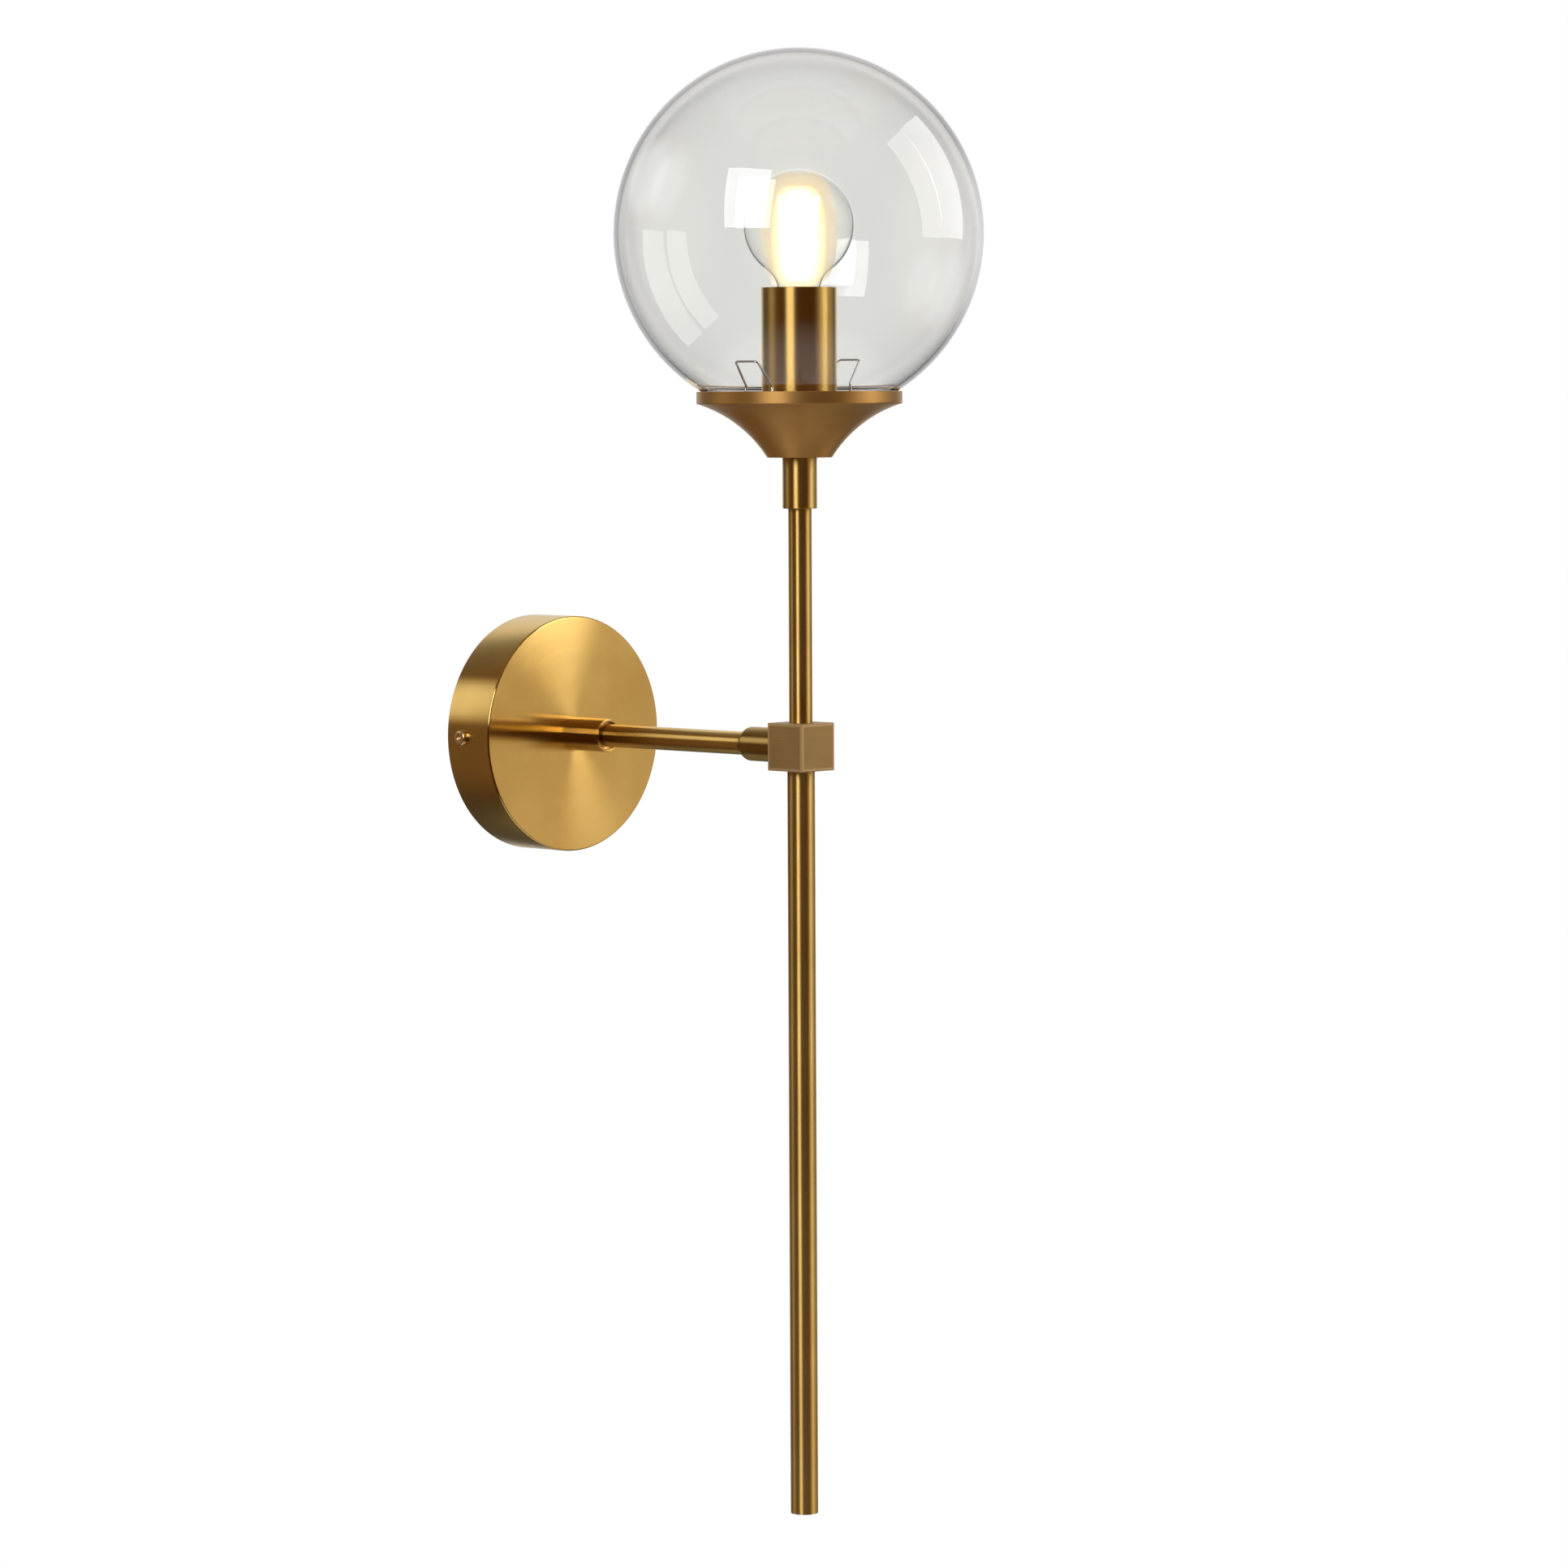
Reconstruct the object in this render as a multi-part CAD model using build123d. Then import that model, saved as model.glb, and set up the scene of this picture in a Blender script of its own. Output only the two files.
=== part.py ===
from build123d import *
import os
from math import cos, radians, sin, sqrt

# Globe wall sconce: a clear glass ball on a slim rod, held off the wall by a round canopy and an arm.
#
# Frame: the origin is on the wall, on the arm's axis, at the middle of the mounting plate.
# +X is to the right as seen from the room, -Y points out of the wall, +Z is up.
# All sizes are millimetres. Pieces on the rod are drawn at their own heights about the Z axis and
# then moved out to the rod. Pieces on the arm are drawn along Z from the wall and then laid down.

# ---- clearances ----
THREAD_GAP = 0.05         # radial, between two threaded pieces
SLIDE_GAP = 0.2           # radial, around a piece that drops into place
FREE_GAP = 0.3            # between pieces that move apart
SCREW_HOLE_GAP = 0.2      # radial, around a screw in its clearance hole
HEAD_ROUND = 0.45         # rounding of a screw head, as a share of its height

# ---- arm, rod and block ----
REACH = 158.0             # wall to the rod's axis
TUBE_D = 9.6              # arm tube and upper tube
TUBE_WALL = 1.05
NIPPLE_D = 10.0           # hollow threaded nipples
NIPPLE_WALL = 1.25
COLLAR_D = 14.1           # sleeve and both arm collars
BLOCK = 19.5              # edge of the cross block
BLOCK_BEVEL = 0.4
BLOCK_SEAT = 4.8          # depth of the tube and nipple seats in the block
BASE_COLLAR_LENGTH = 21.0
COLLAR_THREAD = 8.0       # nipple thread inside each arm collar
COLLAR_MOUTH_D = 12.0     # open counterbore round the arm tube
COLLAR_MOUTH_DEPTH = 2.5
END_COLLAR_LENGTH = 18.6
END_COLLAR_TAPER = 2.8
TAPER_TIP_WALL = 0.5
TAPER_SHOULDER_R = 1.0
UPPER_TUBE_RUN = 87.2     # bare tube between the block and the sleeve
SLEEVE_LENGTH = 20.7
SLEEVE_SEAT = 9.0         # tube end inside the sleeve
COLLAR_EDGE = 0.3

# ---- lower rod ----
LOWER_ROD_D = 11.4
LOWER_ROD_WALL = 1.0
LOWER_ROD_RUN = 306.4     # below the block
INSERT_LENGTH = 15.0
STUD_D = 8.0
STUD_SEAT = 4.6           # stud inside the block
STUD_IN_ROD = 12.0
END_PLUG_LENGTH = 6.0

# ---- canopy ----
CANOPY_D = 100.0
CANOPY_DEPTH = 25.0
CANOPY_WALL = 1.2
CANOPY_EDGE = 1.2
SIDE_SCREW_HEIGHT = 9.0   # side screws, from the wall
SIDE_SCREW_D = 4.0
SIDE_SCREW_HEAD_D = 6.4
SIDE_SCREW_HEAD_H = 2.0
SIDE_SCREW_LENGTH = 8.0

# ---- mounting plate behind the canopy ----
PLATE_D = 86.0
PLATE_T = 1.5
SLOT_SPACING = 60.0
SLOT_LENGTH = 12.0
SLOT_W = 4.6
CABLE_HOLE_D = 16.0
EAR_W = 14.0
EAR_HEIGHT = 15.0
EAR_BEND = 1.0            # inside radius of the bend
EAR_GAP = 0.45            # ear to the canopy's inner wall, at the ear's corners

# ---- terminals and earth ----
TERMINAL_W = 20.0
TERMINAL_H = 16.0
TERMINAL_T = 12.0
TERMINAL_MID = 27.0       # above the arm's axis
TERMINAL_CORNER = 1.5
POLE_SPACING = 10.0
POLE_D = 4.6
POLE_BORE = 3.0
POLE_INSET = 1.0          # from the block's ends
POLE_SCREW_D = 2.6
POLE_SCREW_SPACING = 8.0
POLE_SCREW_SINK = 1.0
FIXING_SCREW_D = 3.0
FIXING_HEAD_D = 5.2
FIXING_HEAD_H = 1.6
EARTH_SCREW_DROP = 28.0   # below the arm's axis
EARTH_SCREW_D = 4.0
EARTH_HEAD_D = 7.0
EARTH_HEAD_H = 2.4
EARTH_SCREW_LENGTH = 4.0
TAG_T = 0.8
PLATE_TAG_D = 8.4
PLATE_TAG_REACH = 4.4     # screw to the crimp barrel
BODY_TAG_D = 14.0
BODY_TAG_REACH = 13.6     # arm's axis to the crimp barrel
CRIMP_D = 3.4
CRIMP_LENGTH = 5.0

# ---- nuts and washers ----
NUT_AF = 14.0
NUT_H = 4.0
WASHER_D = 20.0
WASHER_T = 1.0
NIPPLE_PAST_NUT = 1.2

# ---- flared cup under the glass ----
CUP_FOOT_D = 26.4
CUP_FLOOR = 2.0
CUP_WALL = 1.4
FLARE_HEIGHT = 21.6
FLARE_R = 52.0            # hollow curve of the trumpet
RIM_HEIGHT = 5.2
RIM_LIP = 0.9
RIM_STEP = 0.8            # how far the rim stands out past the trumpet
MOUTH_GAP = 2.0           # radial, between the glass mouth and the rim's inner wall
RIM_UNDER_EDGE = 0.55     # rounded lower edge
RIM_TOP_EDGE = 0.35
POCKET_DEPTH = 4.1        # rim top down to the ledge that carries the plate

# ---- gallery plate, gasket and globe ----
GALLERY_T = 1.2
GASKET_T = 2.2
GASKET_W = 4.4
GLOBE_D = 150.0
GLOBE_WALL = 2.0
GLOBE_MOUTH_D = 77.8      # cut edge, measured outside

# ---- spring clips ----
CLIP_TURN = 15.0          # right clip, from +X towards the wall
CLIP_WIRE = 0.9
CLIP_HEIGHT = 15.3        # above the plate
CLIP_KINK_HEIGHT = 5.6
CLIP_KINK_INSET = 1.7     # from the glass mouth
CLIP_FOOT_INSET = 0.95
CLIP_LEAN = 8.8           # how far the top leans out past the mouth
CLIP_TOP_W = 9.7
CLIP_KINK_W = 11.6
CLIP_FOOT_W = 13.4
CLIP_FOOT_LENGTH = 6.0
CLIP_BEND = 1.1
CLIP_SLOT_L = 3.0
CLIP_SLOT_GAP = 0.35

# ---- lampholder and its cover ----
COVER_D = 30.6
COVER_WALL = 1.0
COVER_HEIGHT = 44.9
COVER_EDGE = 0.3
HOLDER_D = 26.6
HOLDER_BASE_H = 11.3
HOLDER_BASE_WALL = 1.6
HOLDER_BASE_FLOOR = 4.0
HOLDER_BODY_H = 28.2
HOLDER_DECK = 2.0
HOLDER_MOUTH_DEPTH = 4.4
SHELL_WALL = 0.4
SHELL_HEIGHT = 18.0
SHELL_BOTTOM_D = 11.0
CONTACT_T = 0.4
CONTACT_W = 3.4
CONTACT_L = 9.0
CONTACT_RISE = 1.2
TERMINAL_WIRE_SPREAD = 10.0   # between the two wire entries under the lampholder

# ---- lamp: E14 cap, 45 mm ball ----
BULB_D = 45.0
BULB_LENGTH = 78.0
BULB_WALL = 0.8
BULB_NECK_D = 17.2
BULB_NECK_RUN = 3.5
CAP_LENGTH = 25.0
CAP_THREAD_D = 13.9
CAP_SKIRT_D = 17.0
CAP_WALL = 0.4
CAP_SKIRT_H = 4.6
INSULATOR_H = 3.2
TIP_D = 6.0
TIP_H = 1.2
TIP_ROUND = 0.72
CAP_EDGE = 0.8
STEM_FLARE_H = 1.2
STEM_D = 5.0
STEM_HEIGHT = 12.0
POST_D = 1.6
FILAMENTS = 4
FILAMENT_D = 1.7
FILAMENT_LENGTH = 27.0
FILAMENT_LOW_R = 5.6
FILAMENT_HIGH_R = 7.6
FILAMENT_ABOVE_STEM = 3.0
LEAD_D = 0.5
LEAD_DROP = 1.0           # level wires below the stem's top and the filaments' heads

# ---- wires ----
WIRE_D = 2.2
WIRE_LANE_X = 1.25        # each wire from the middle of the bore
WIRE_LANE_SIDE = 1.6      # both wires towards the outside of the bend
WIRE_CANOPY_BEND = 8.0
WIRE_EARTH_BEND = 5.0
WIRE_BLOCK_BEND = 12.0
WIRE_SPREAD_BEND = 6.0
WIRE_ENTRY_BEND = 4.0
WIRE_IN_POLE = 4.0
WIRE_BELOW_POLE = 3.0     # straight run before each wire turns down to the nipple
WIRE_PAST_NIPPLE = 0.5
WIRE_BELOW_DECK = 2.0     # straight run into the lampholder

# ---- places that follow from the sizes above ----
TUBE_BORE = TUBE_D - 2 * TUBE_WALL
NIPPLE_BORE = NIPPLE_D - 2 * NIPPLE_WALL
NIPPLE_SEAT_D = NIPPLE_D + 2 * THREAD_GAP
TUBE_SEAT_D = TUBE_D + 2 * THREAD_GAP
HALF_BLOCK = BLOCK / 2

CANOPY_INSIDE = CANOPY_DEPTH - CANOPY_WALL
NUT_BACK = CANOPY_INSIDE - WASHER_T - TAG_T - NUT_H
NIPPLE_BACK = NUT_BACK - NIPPLE_PAST_NUT
BASE_COLLAR_END = CANOPY_DEPTH + BASE_COLLAR_LENGTH
ARM_TUBE_START = CANOPY_DEPTH + COLLAR_THREAD
BLOCK_BACK = REACH - HALF_BLOCK
ARM_TUBE_END = BLOCK_BACK - COLLAR_THREAD
END_COLLAR_START = BLOCK_BACK - END_COLLAR_LENGTH - END_COLLAR_TAPER

SLEEVE_LOW = HALF_BLOCK + UPPER_TUBE_RUN
CUP_LOW = SLEEVE_LOW + SLEEVE_LENGTH
RIM_D = GLOBE_MOUTH_D + 2 * (MOUTH_GAP + RIM_LIP)
FLARE_TOP_D = RIM_D - 2 * RIM_STEP
FLARE_TOP = CUP_LOW + FLARE_HEIGHT
RIM_TOP = FLARE_TOP + RIM_HEIGHT
LEDGE = RIM_TOP - POCKET_DEPTH
POCKET_R = RIM_D / 2 - RIM_LIP
GALLERY_TOP = LEDGE + GALLERY_T
GLASS_SEAT = GALLERY_TOP + GASKET_T
GLOBE_R = GLOBE_D / 2
GLOBE_MOUTH_R = GLOBE_MOUTH_D / 2
GLOBE_Z = GLASS_SEAT + sqrt(GLOBE_R**2 - GLOBE_MOUTH_R**2)
MOUTH_INNER_R = sqrt((GLOBE_R - GLOBE_WALL) ** 2 - (GLOBE_Z - GLASS_SEAT) ** 2)

HOLDER_DECK_LOW = GALLERY_TOP + HOLDER_BASE_H
HOLDER_DECK_TOP = HOLDER_DECK_LOW + HOLDER_DECK
HOLDER_TOP = HOLDER_DECK_LOW + HOLDER_BODY_H
STEM_NIPPLE_TOP = GALLERY_TOP + HOLDER_BASE_FLOOR
BULB_TIP = HOLDER_DECK_TOP + CONTACT_RISE + FREE_GAP
CAP_TOP = BULB_TIP + CAP_LENGTH
BULB_TOP = BULB_TIP + BULB_LENGTH
BULB_Z = BULB_TOP - BULB_D / 2
SHELL_BORE_R = CAP_THREAD_D / 2 + THREAD_GAP
SHELL_OUTER_R = SHELL_BORE_R + SHELL_WALL
SHELL_TOP = HOLDER_TOP - HOLDER_MOUTH_DEPTH
STEM_TOP = CAP_TOP + STEM_HEIGHT
FILAMENT_LOW = STEM_TOP + FILAMENT_ABOVE_STEM
FILAMENT_HIGH = FILAMENT_LOW + FILAMENT_LENGTH

WIRE_RISER_DEPTH = TERMINAL_T / 2 + PLATE_T      # wires up to the terminals, from the wall

BASE = (Align.CENTER, Align.CENTER, Align.MIN)


# ---- shared shapes ----
def rod(diameter, low, high):
    """A round bar about the Z axis."""
    return Pos(0, 0, low) * Cylinder(diameter / 2, high - low, align=BASE)


def tube(diameter, bore, low, high):
    return rod(diameter, low, high) - rod(bore, low, high)


def hex_nut(across_flats, bore, low, high):
    blank = extrude(RegularPolygon(across_flats / 2, 6, major_radius=False), high - low)
    return Pos(0, 0, low) * blank - rod(bore, low, high)


def turned(*edges):
    """A closed outline of (radius, height) edges turned about the Z axis."""
    return revolve(Plane.XZ * make_face(list(edges)), Axis.Z)


def turned_points(*points):
    return turned(Polyline(*points, close=True))


def edge_rings(solid, height):
    """The round edges of a turned solid that lie at one height."""
    rings = solid.edges().filter_by(GeomType.CIRCLE)
    return rings.filter_by(lambda e: abs(e.center().Z - height) < 1e-6)


def outer_ring(solid, height):
    return edge_rings(solid, height).sort_by(SortBy.RADIUS)[-1]


def screw(thread_d, length, head_d, head_h):
    """A pan head screw pointing down -Z, with its head's underside at Z = 0."""
    head = rod(head_d, 0, head_h)
    head = fillet(outer_ring(head, head_h), head_h * HEAD_ROUND)
    return head + rod(thread_d, -length, 0)


def wire_along(points, radii, diameter):
    """A round wire swept along straight runs joined by tangent arcs."""
    path = FilletPolyline(*points, radius=radii)
    section = Plane(origin=path @ 0, z_dir=path % 0) * Circle(diameter / 2)
    return sweep(section, path=path)


def out_of_wall(shape):
    """Lays a shape drawn along +Z from the wall down along the arm."""
    return Rot(90, 0, 0) * shape


def on_rod(shape):
    return Pos(0, -REACH, 0) * shape


def flare_centre():
    """Centre of the hollow curve, outside and below the trumpet."""
    r0, r1 = CUP_FOOT_D / 2, FLARE_TOP_D / 2
    chord = sqrt((r1 - r0) ** 2 + FLARE_HEIGHT**2)
    away = sqrt(FLARE_R**2 - (chord / 2) ** 2) / chord
    return (r0 + r1) / 2 + away * FLARE_HEIGHT, CUP_LOW + FLARE_HEIGHT / 2 - away * (r1 - r0)


def flare_radius(height, wall=0.0):
    """Radius of the trumpet's surface at a height, that far inside the outer skin."""
    centre_r, centre_z = flare_centre()
    return centre_r - sqrt((FLARE_R + wall) ** 2 - (height - centre_z) ** 2)


def flare_curve(low, high, wall=0.0):
    middle = (low + high) / 2
    ends = [(flare_radius(z, wall), z) for z in (low, middle, high)]
    return ThreePointArc(*ends)


# ---- canopy and what is fixed to it ----
def make_canopy():
    shell = rod(CANOPY_D, 0, CANOPY_DEPTH)
    shell = fillet(outer_ring(shell, CANOPY_DEPTH), CANOPY_EDGE)
    shell -= rod(CANOPY_D - 2 * CANOPY_WALL, 0, CANOPY_INSIDE)
    shell -= rod(NIPPLE_SEAT_D, CANOPY_INSIDE, CANOPY_DEPTH)
    drill = Rot(0, 90, 0) * rod(SIDE_SCREW_D + 2 * SCREW_HOLE_GAP, -CANOPY_D, CANOPY_D)
    return out_of_wall(shell - Pos(0, 0, SIDE_SCREW_HEIGHT) * drill)


def make_canopy_screws():
    one = screw(SIDE_SCREW_D, SIDE_SCREW_LENGTH, SIDE_SCREW_HEAD_D, SIDE_SCREW_HEAD_H)
    pair = [Pos(side * CANOPY_D / 2, 0, SIDE_SCREW_HEIGHT) * Rot(0, side * 90, 0) * one for side in (-1, 1)]
    return out_of_wall(Compound(pair))


def ear_reach():
    """How far the ears' outer faces stand from the middle, inside the round canopy wall."""
    inside = CANOPY_D / 2 - CANOPY_WALL
    return sqrt(inside**2 - (EAR_W / 2) ** 2) - EAR_GAP


def make_ear():
    """One bent lug, drawn on +X: it grows out of the plate and turns up from the wall."""
    reach = ear_reach()
    flat = Line((0, 0), (reach - PLATE_T - EAR_BEND, 0))
    bend = RadiusArc(flat @ 1, (reach, EAR_BEND + PLATE_T), -(EAR_BEND + PLATE_T))
    rise = Line(bend @ 1, (reach, EAR_HEIGHT))
    top = Line(rise @ 1, (reach - PLATE_T, EAR_HEIGHT))
    drop = Line(top @ 1, (reach - PLATE_T, EAR_BEND + PLATE_T))
    inner = RadiusArc(drop @ 1, (reach - PLATE_T - EAR_BEND, PLATE_T), EAR_BEND)
    back = Line(inner @ 1, (0, PLATE_T))
    close = Line(back @ 1, flat @ 0)
    outline = make_face([flat, bend, rise, top, drop, inner, back, close])
    lug = Pos(0, EAR_W / 2, 0) * extrude(Plane.XZ * outline, EAR_W)
    hole = Pos(0, 0, SIDE_SCREW_HEIGHT) * Rot(0, 90, 0) * rod(SIDE_SCREW_D + 2 * THREAD_GAP, 0, reach + 1)
    return lug - hole


def make_mounting_plate():
    plate = rod(PLATE_D, 0, PLATE_T)
    for side in (0, 180):
        plate += Rot(0, 0, side) * make_ear()
    plate -= rod(CABLE_HOLE_D, 0, PLATE_T)
    slot = extrude(SlotOverall(SLOT_LENGTH, SLOT_W), PLATE_T)
    for side in (-1, 1):
        plate -= Pos(side * SLOT_SPACING / 2, 0, 0) * slot
    plate -= Pos(0, TERMINAL_MID, 0) * rod(FIXING_SCREW_D + 2 * THREAD_GAP, 0, PLATE_T)
    plate -= Pos(0, -EARTH_SCREW_DROP, 0) * rod(EARTH_SCREW_D + 2 * THREAD_GAP, 0, PLATE_T)
    return out_of_wall(plate)


def make_canopy_nipple():
    return out_of_wall(tube(NIPPLE_D, NIPPLE_BORE, NIPPLE_BACK, ARM_TUBE_START))


def make_canopy_washer():
    return out_of_wall(tube(WASHER_D, NIPPLE_SEAT_D, CANOPY_INSIDE - WASHER_T, CANOPY_INSIDE))


def make_canopy_nut():
    return out_of_wall(hex_nut(NUT_AF, NIPPLE_SEAT_D, NUT_BACK, NUT_BACK + NUT_H))


# ---- terminals and earth, on the mounting plate ----
def pole_places():
    return [-POLE_SPACING / 2, POLE_SPACING / 2]


def pole_screw_places():
    rows = (-POLE_SCREW_SPACING / 2, POLE_SCREW_SPACING / 2)
    return [(x, TERMINAL_MID + row) for x in pole_places() for row in rows]


def make_terminal_block():
    top = PLATE_T + TERMINAL_T
    body = Pos(0, TERMINAL_MID, PLATE_T) * Box(TERMINAL_W, TERMINAL_H, TERMINAL_T, align=BASE)
    body = fillet(body.edges().filter_by(Axis.Z), TERMINAL_CORNER)
    for x in pole_places():
        way = Rot(90, 0, 0) * rod(POLE_D + 2 * THREAD_GAP, -TERMINAL_H, TERMINAL_H)
        body -= Pos(x, TERMINAL_MID, WIRE_RISER_DEPTH) * way
    for x, y in pole_screw_places():
        body -= Pos(x, y, 0) * rod(POLE_SCREW_D + 2 * SCREW_HOLE_GAP, WIRE_RISER_DEPTH, top)
    body -= Pos(0, TERMINAL_MID, 0) * rod(FIXING_SCREW_D + 2 * THREAD_GAP, PLATE_T, top)
    return out_of_wall(body)


def make_terminal_poles():
    poles = []
    for x in pole_places():
        half_pole = TERMINAL_H / 2 - POLE_INSET
        pole = tube(POLE_D, POLE_BORE, -half_pole, half_pole)
        pole = Pos(x, TERMINAL_MID, WIRE_RISER_DEPTH) * Rot(90, 0, 0) * pole
        for place_x, y in pole_screw_places():
            if place_x == x:
                hole = rod(POLE_SCREW_D + 2 * THREAD_GAP, WIRE_RISER_DEPTH, WIRE_RISER_DEPTH + POLE_D)
                pole -= Pos(x, y, 0) * hole
        poles.append(pole)
    return out_of_wall(Compound(poles))


def make_terminal_screws():
    low = WIRE_RISER_DEPTH + POLE_BORE / 2
    high = PLATE_T + TERMINAL_T - POLE_SCREW_SINK
    one = rod(POLE_SCREW_D, low, high)
    return out_of_wall(Compound([Pos(x, y, 0) * one for x, y in pole_screw_places()]))


def make_terminal_fixing_screw():
    length = TERMINAL_T + PLATE_T
    one = screw(FIXING_SCREW_D, length, FIXING_HEAD_D, FIXING_HEAD_H)
    return out_of_wall(Pos(0, TERMINAL_MID, length) * one)


def make_earth_screw():
    one = screw(EARTH_SCREW_D, EARTH_SCREW_LENGTH, EARTH_HEAD_D, EARTH_HEAD_H)
    one = split(one, bisect_by=Plane.XY.offset(-PLATE_T - TAG_T), keep=Keep.TOP)
    return out_of_wall(Pos(0, -EARTH_SCREW_DROP, PLATE_T + TAG_T) * one)


def ring_tag(ring_d, hole_d, reach, barrel_place):
    """A flat ring whose tail, along +Y, carries a crimp barrel for the wire."""
    tail = Box(CRIMP_D, reach, TAG_T, align=(Align.CENTER, Align.MIN, Align.MIN))
    tag = rod(ring_d, 0, TAG_T) + tail + barrel_place * rod(CRIMP_D, 0, CRIMP_LENGTH)
    bore = barrel_place * rod(WIRE_D + 2 * THREAD_GAP, 0, CRIMP_LENGTH)
    return tag - bore - rod(hole_d, 0, TAG_T)


def make_earth_plate_tag():
    """Ring tag under the earth screw, its barrel lying along the plate."""
    barrel_place = Pos(0, PLATE_TAG_REACH, CRIMP_D / 2) * Rot(-90, 0, 0)
    hole_d = EARTH_SCREW_D + 2 * THREAD_GAP
    tag = ring_tag(PLATE_TAG_D, hole_d, PLATE_TAG_REACH + CRIMP_LENGTH, barrel_place)
    return out_of_wall(Pos(0, -EARTH_SCREW_DROP, PLATE_T) * tag)


def make_earth_body_tag():
    """Ring tag under the canopy's nut, its barrel turned back towards the wall."""
    barrel_place = Pos(0, BODY_TAG_REACH, TAG_T - CRIMP_LENGTH)
    tag = ring_tag(BODY_TAG_D, NIPPLE_SEAT_D, BODY_TAG_REACH, barrel_place)
    return out_of_wall(Pos(0, 0, NUT_BACK + NUT_H) * Rot(0, 0, 180) * tag)


# ---- arm ----
def make_arm_base_collar():
    collar = rod(COLLAR_D, CANOPY_DEPTH, BASE_COLLAR_END)
    collar = fillet(outer_ring(collar, BASE_COLLAR_END), COLLAR_EDGE)
    collar -= rod(NIPPLE_SEAT_D, CANOPY_DEPTH, ARM_TUBE_START)
    collar -= rod(TUBE_SEAT_D, ARM_TUBE_START, BASE_COLLAR_END)
    collar -= rod(COLLAR_MOUTH_D, BASE_COLLAR_END - COLLAR_MOUTH_DEPTH, BASE_COLLAR_END)
    return out_of_wall(collar)


def make_arm_tube():
    return out_of_wall(tube(TUBE_D, TUBE_BORE, ARM_TUBE_START, ARM_TUBE_END))


def make_arm_end_collar():
    shoulder = END_COLLAR_START + END_COLLAR_TAPER
    tip_r = TUBE_D / 2 + TAPER_TIP_WALL
    collar = turned_points(
        (0, END_COLLAR_START), (tip_r, END_COLLAR_START), (COLLAR_D / 2, shoulder),
        (COLLAR_D / 2, BLOCK_BACK), (0, BLOCK_BACK),
    )
    collar = fillet(outer_ring(collar, shoulder), TAPER_SHOULDER_R)
    collar -= rod(TUBE_SEAT_D, END_COLLAR_START, ARM_TUBE_END)
    collar -= rod(NIPPLE_SEAT_D, ARM_TUBE_END, BLOCK_BACK)
    return out_of_wall(collar)


def make_block_nipple():
    return out_of_wall(tube(NIPPLE_D, NIPPLE_BORE, ARM_TUBE_END, BLOCK_BACK + BLOCK_SEAT))


def make_cross_block():
    """Solid cube with a seat for each tube and a right-angled way for the wires."""
    cube = chamfer(Box(BLOCK, BLOCK, BLOCK).edges(), BLOCK_BEVEL)
    cube -= rod(TUBE_SEAT_D, HALF_BLOCK - BLOCK_SEAT, HALF_BLOCK)
    cube -= rod(TUBE_BORE, 0, HALF_BLOCK) + Sphere(TUBE_BORE / 2)
    across = rod(NIPPLE_SEAT_D, HALF_BLOCK - BLOCK_SEAT, HALF_BLOCK) + rod(NIPPLE_BORE, 0, HALF_BLOCK)
    cube -= Rot(-90, 0, 0) * across
    cube -= rod(STUD_D + 2 * THREAD_GAP, -HALF_BLOCK, -HALF_BLOCK + STUD_SEAT)
    return on_rod(cube)


# ---- rod above and below the block ----
def make_upper_tube():
    return on_rod(tube(TUBE_D, TUBE_BORE, HALF_BLOCK - BLOCK_SEAT, SLEEVE_LOW + SLEEVE_SEAT))


def make_stem_sleeve():
    sleeve = rod(COLLAR_D, SLEEVE_LOW, CUP_LOW)
    sleeve = fillet([outer_ring(sleeve, SLEEVE_LOW), outer_ring(sleeve, CUP_LOW)], COLLAR_EDGE)
    sleeve -= rod(TUBE_SEAT_D, SLEEVE_LOW, SLEEVE_LOW + SLEEVE_SEAT)
    sleeve -= rod(NIPPLE_SEAT_D, SLEEVE_LOW + SLEEVE_SEAT, CUP_LOW)
    return on_rod(sleeve)


def make_lower_rod():
    bore = LOWER_ROD_D - 2 * LOWER_ROD_WALL
    return on_rod(tube(LOWER_ROD_D, bore, -HALF_BLOCK - LOWER_ROD_RUN, -HALF_BLOCK))


def make_rod_insert():
    outer = LOWER_ROD_D - 2 * LOWER_ROD_WALL - 2 * THREAD_GAP
    insert = tube(outer, STUD_D + 2 * THREAD_GAP, -HALF_BLOCK - INSERT_LENGTH, -HALF_BLOCK)
    return on_rod(insert)


def make_rod_stud():
    return on_rod(rod(STUD_D, -HALF_BLOCK - STUD_IN_ROD, -HALF_BLOCK + STUD_SEAT))


def make_rod_end_plug():
    foot = -HALF_BLOCK - LOWER_ROD_RUN
    outer = LOWER_ROD_D - 2 * LOWER_ROD_WALL - 2 * THREAD_GAP
    return on_rod(rod(outer, foot, foot + END_PLUG_LENGTH))


def make_stem_nipple():
    return on_rod(tube(NIPPLE_D, NIPPLE_BORE, SLEEVE_LOW + SLEEVE_SEAT, STEM_NIPPLE_TOP))


def make_cup_nut():
    low = CUP_LOW + CUP_FLOOR
    return on_rod(hex_nut(NUT_AF, NIPPLE_SEAT_D, low, low + NUT_H))


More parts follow.
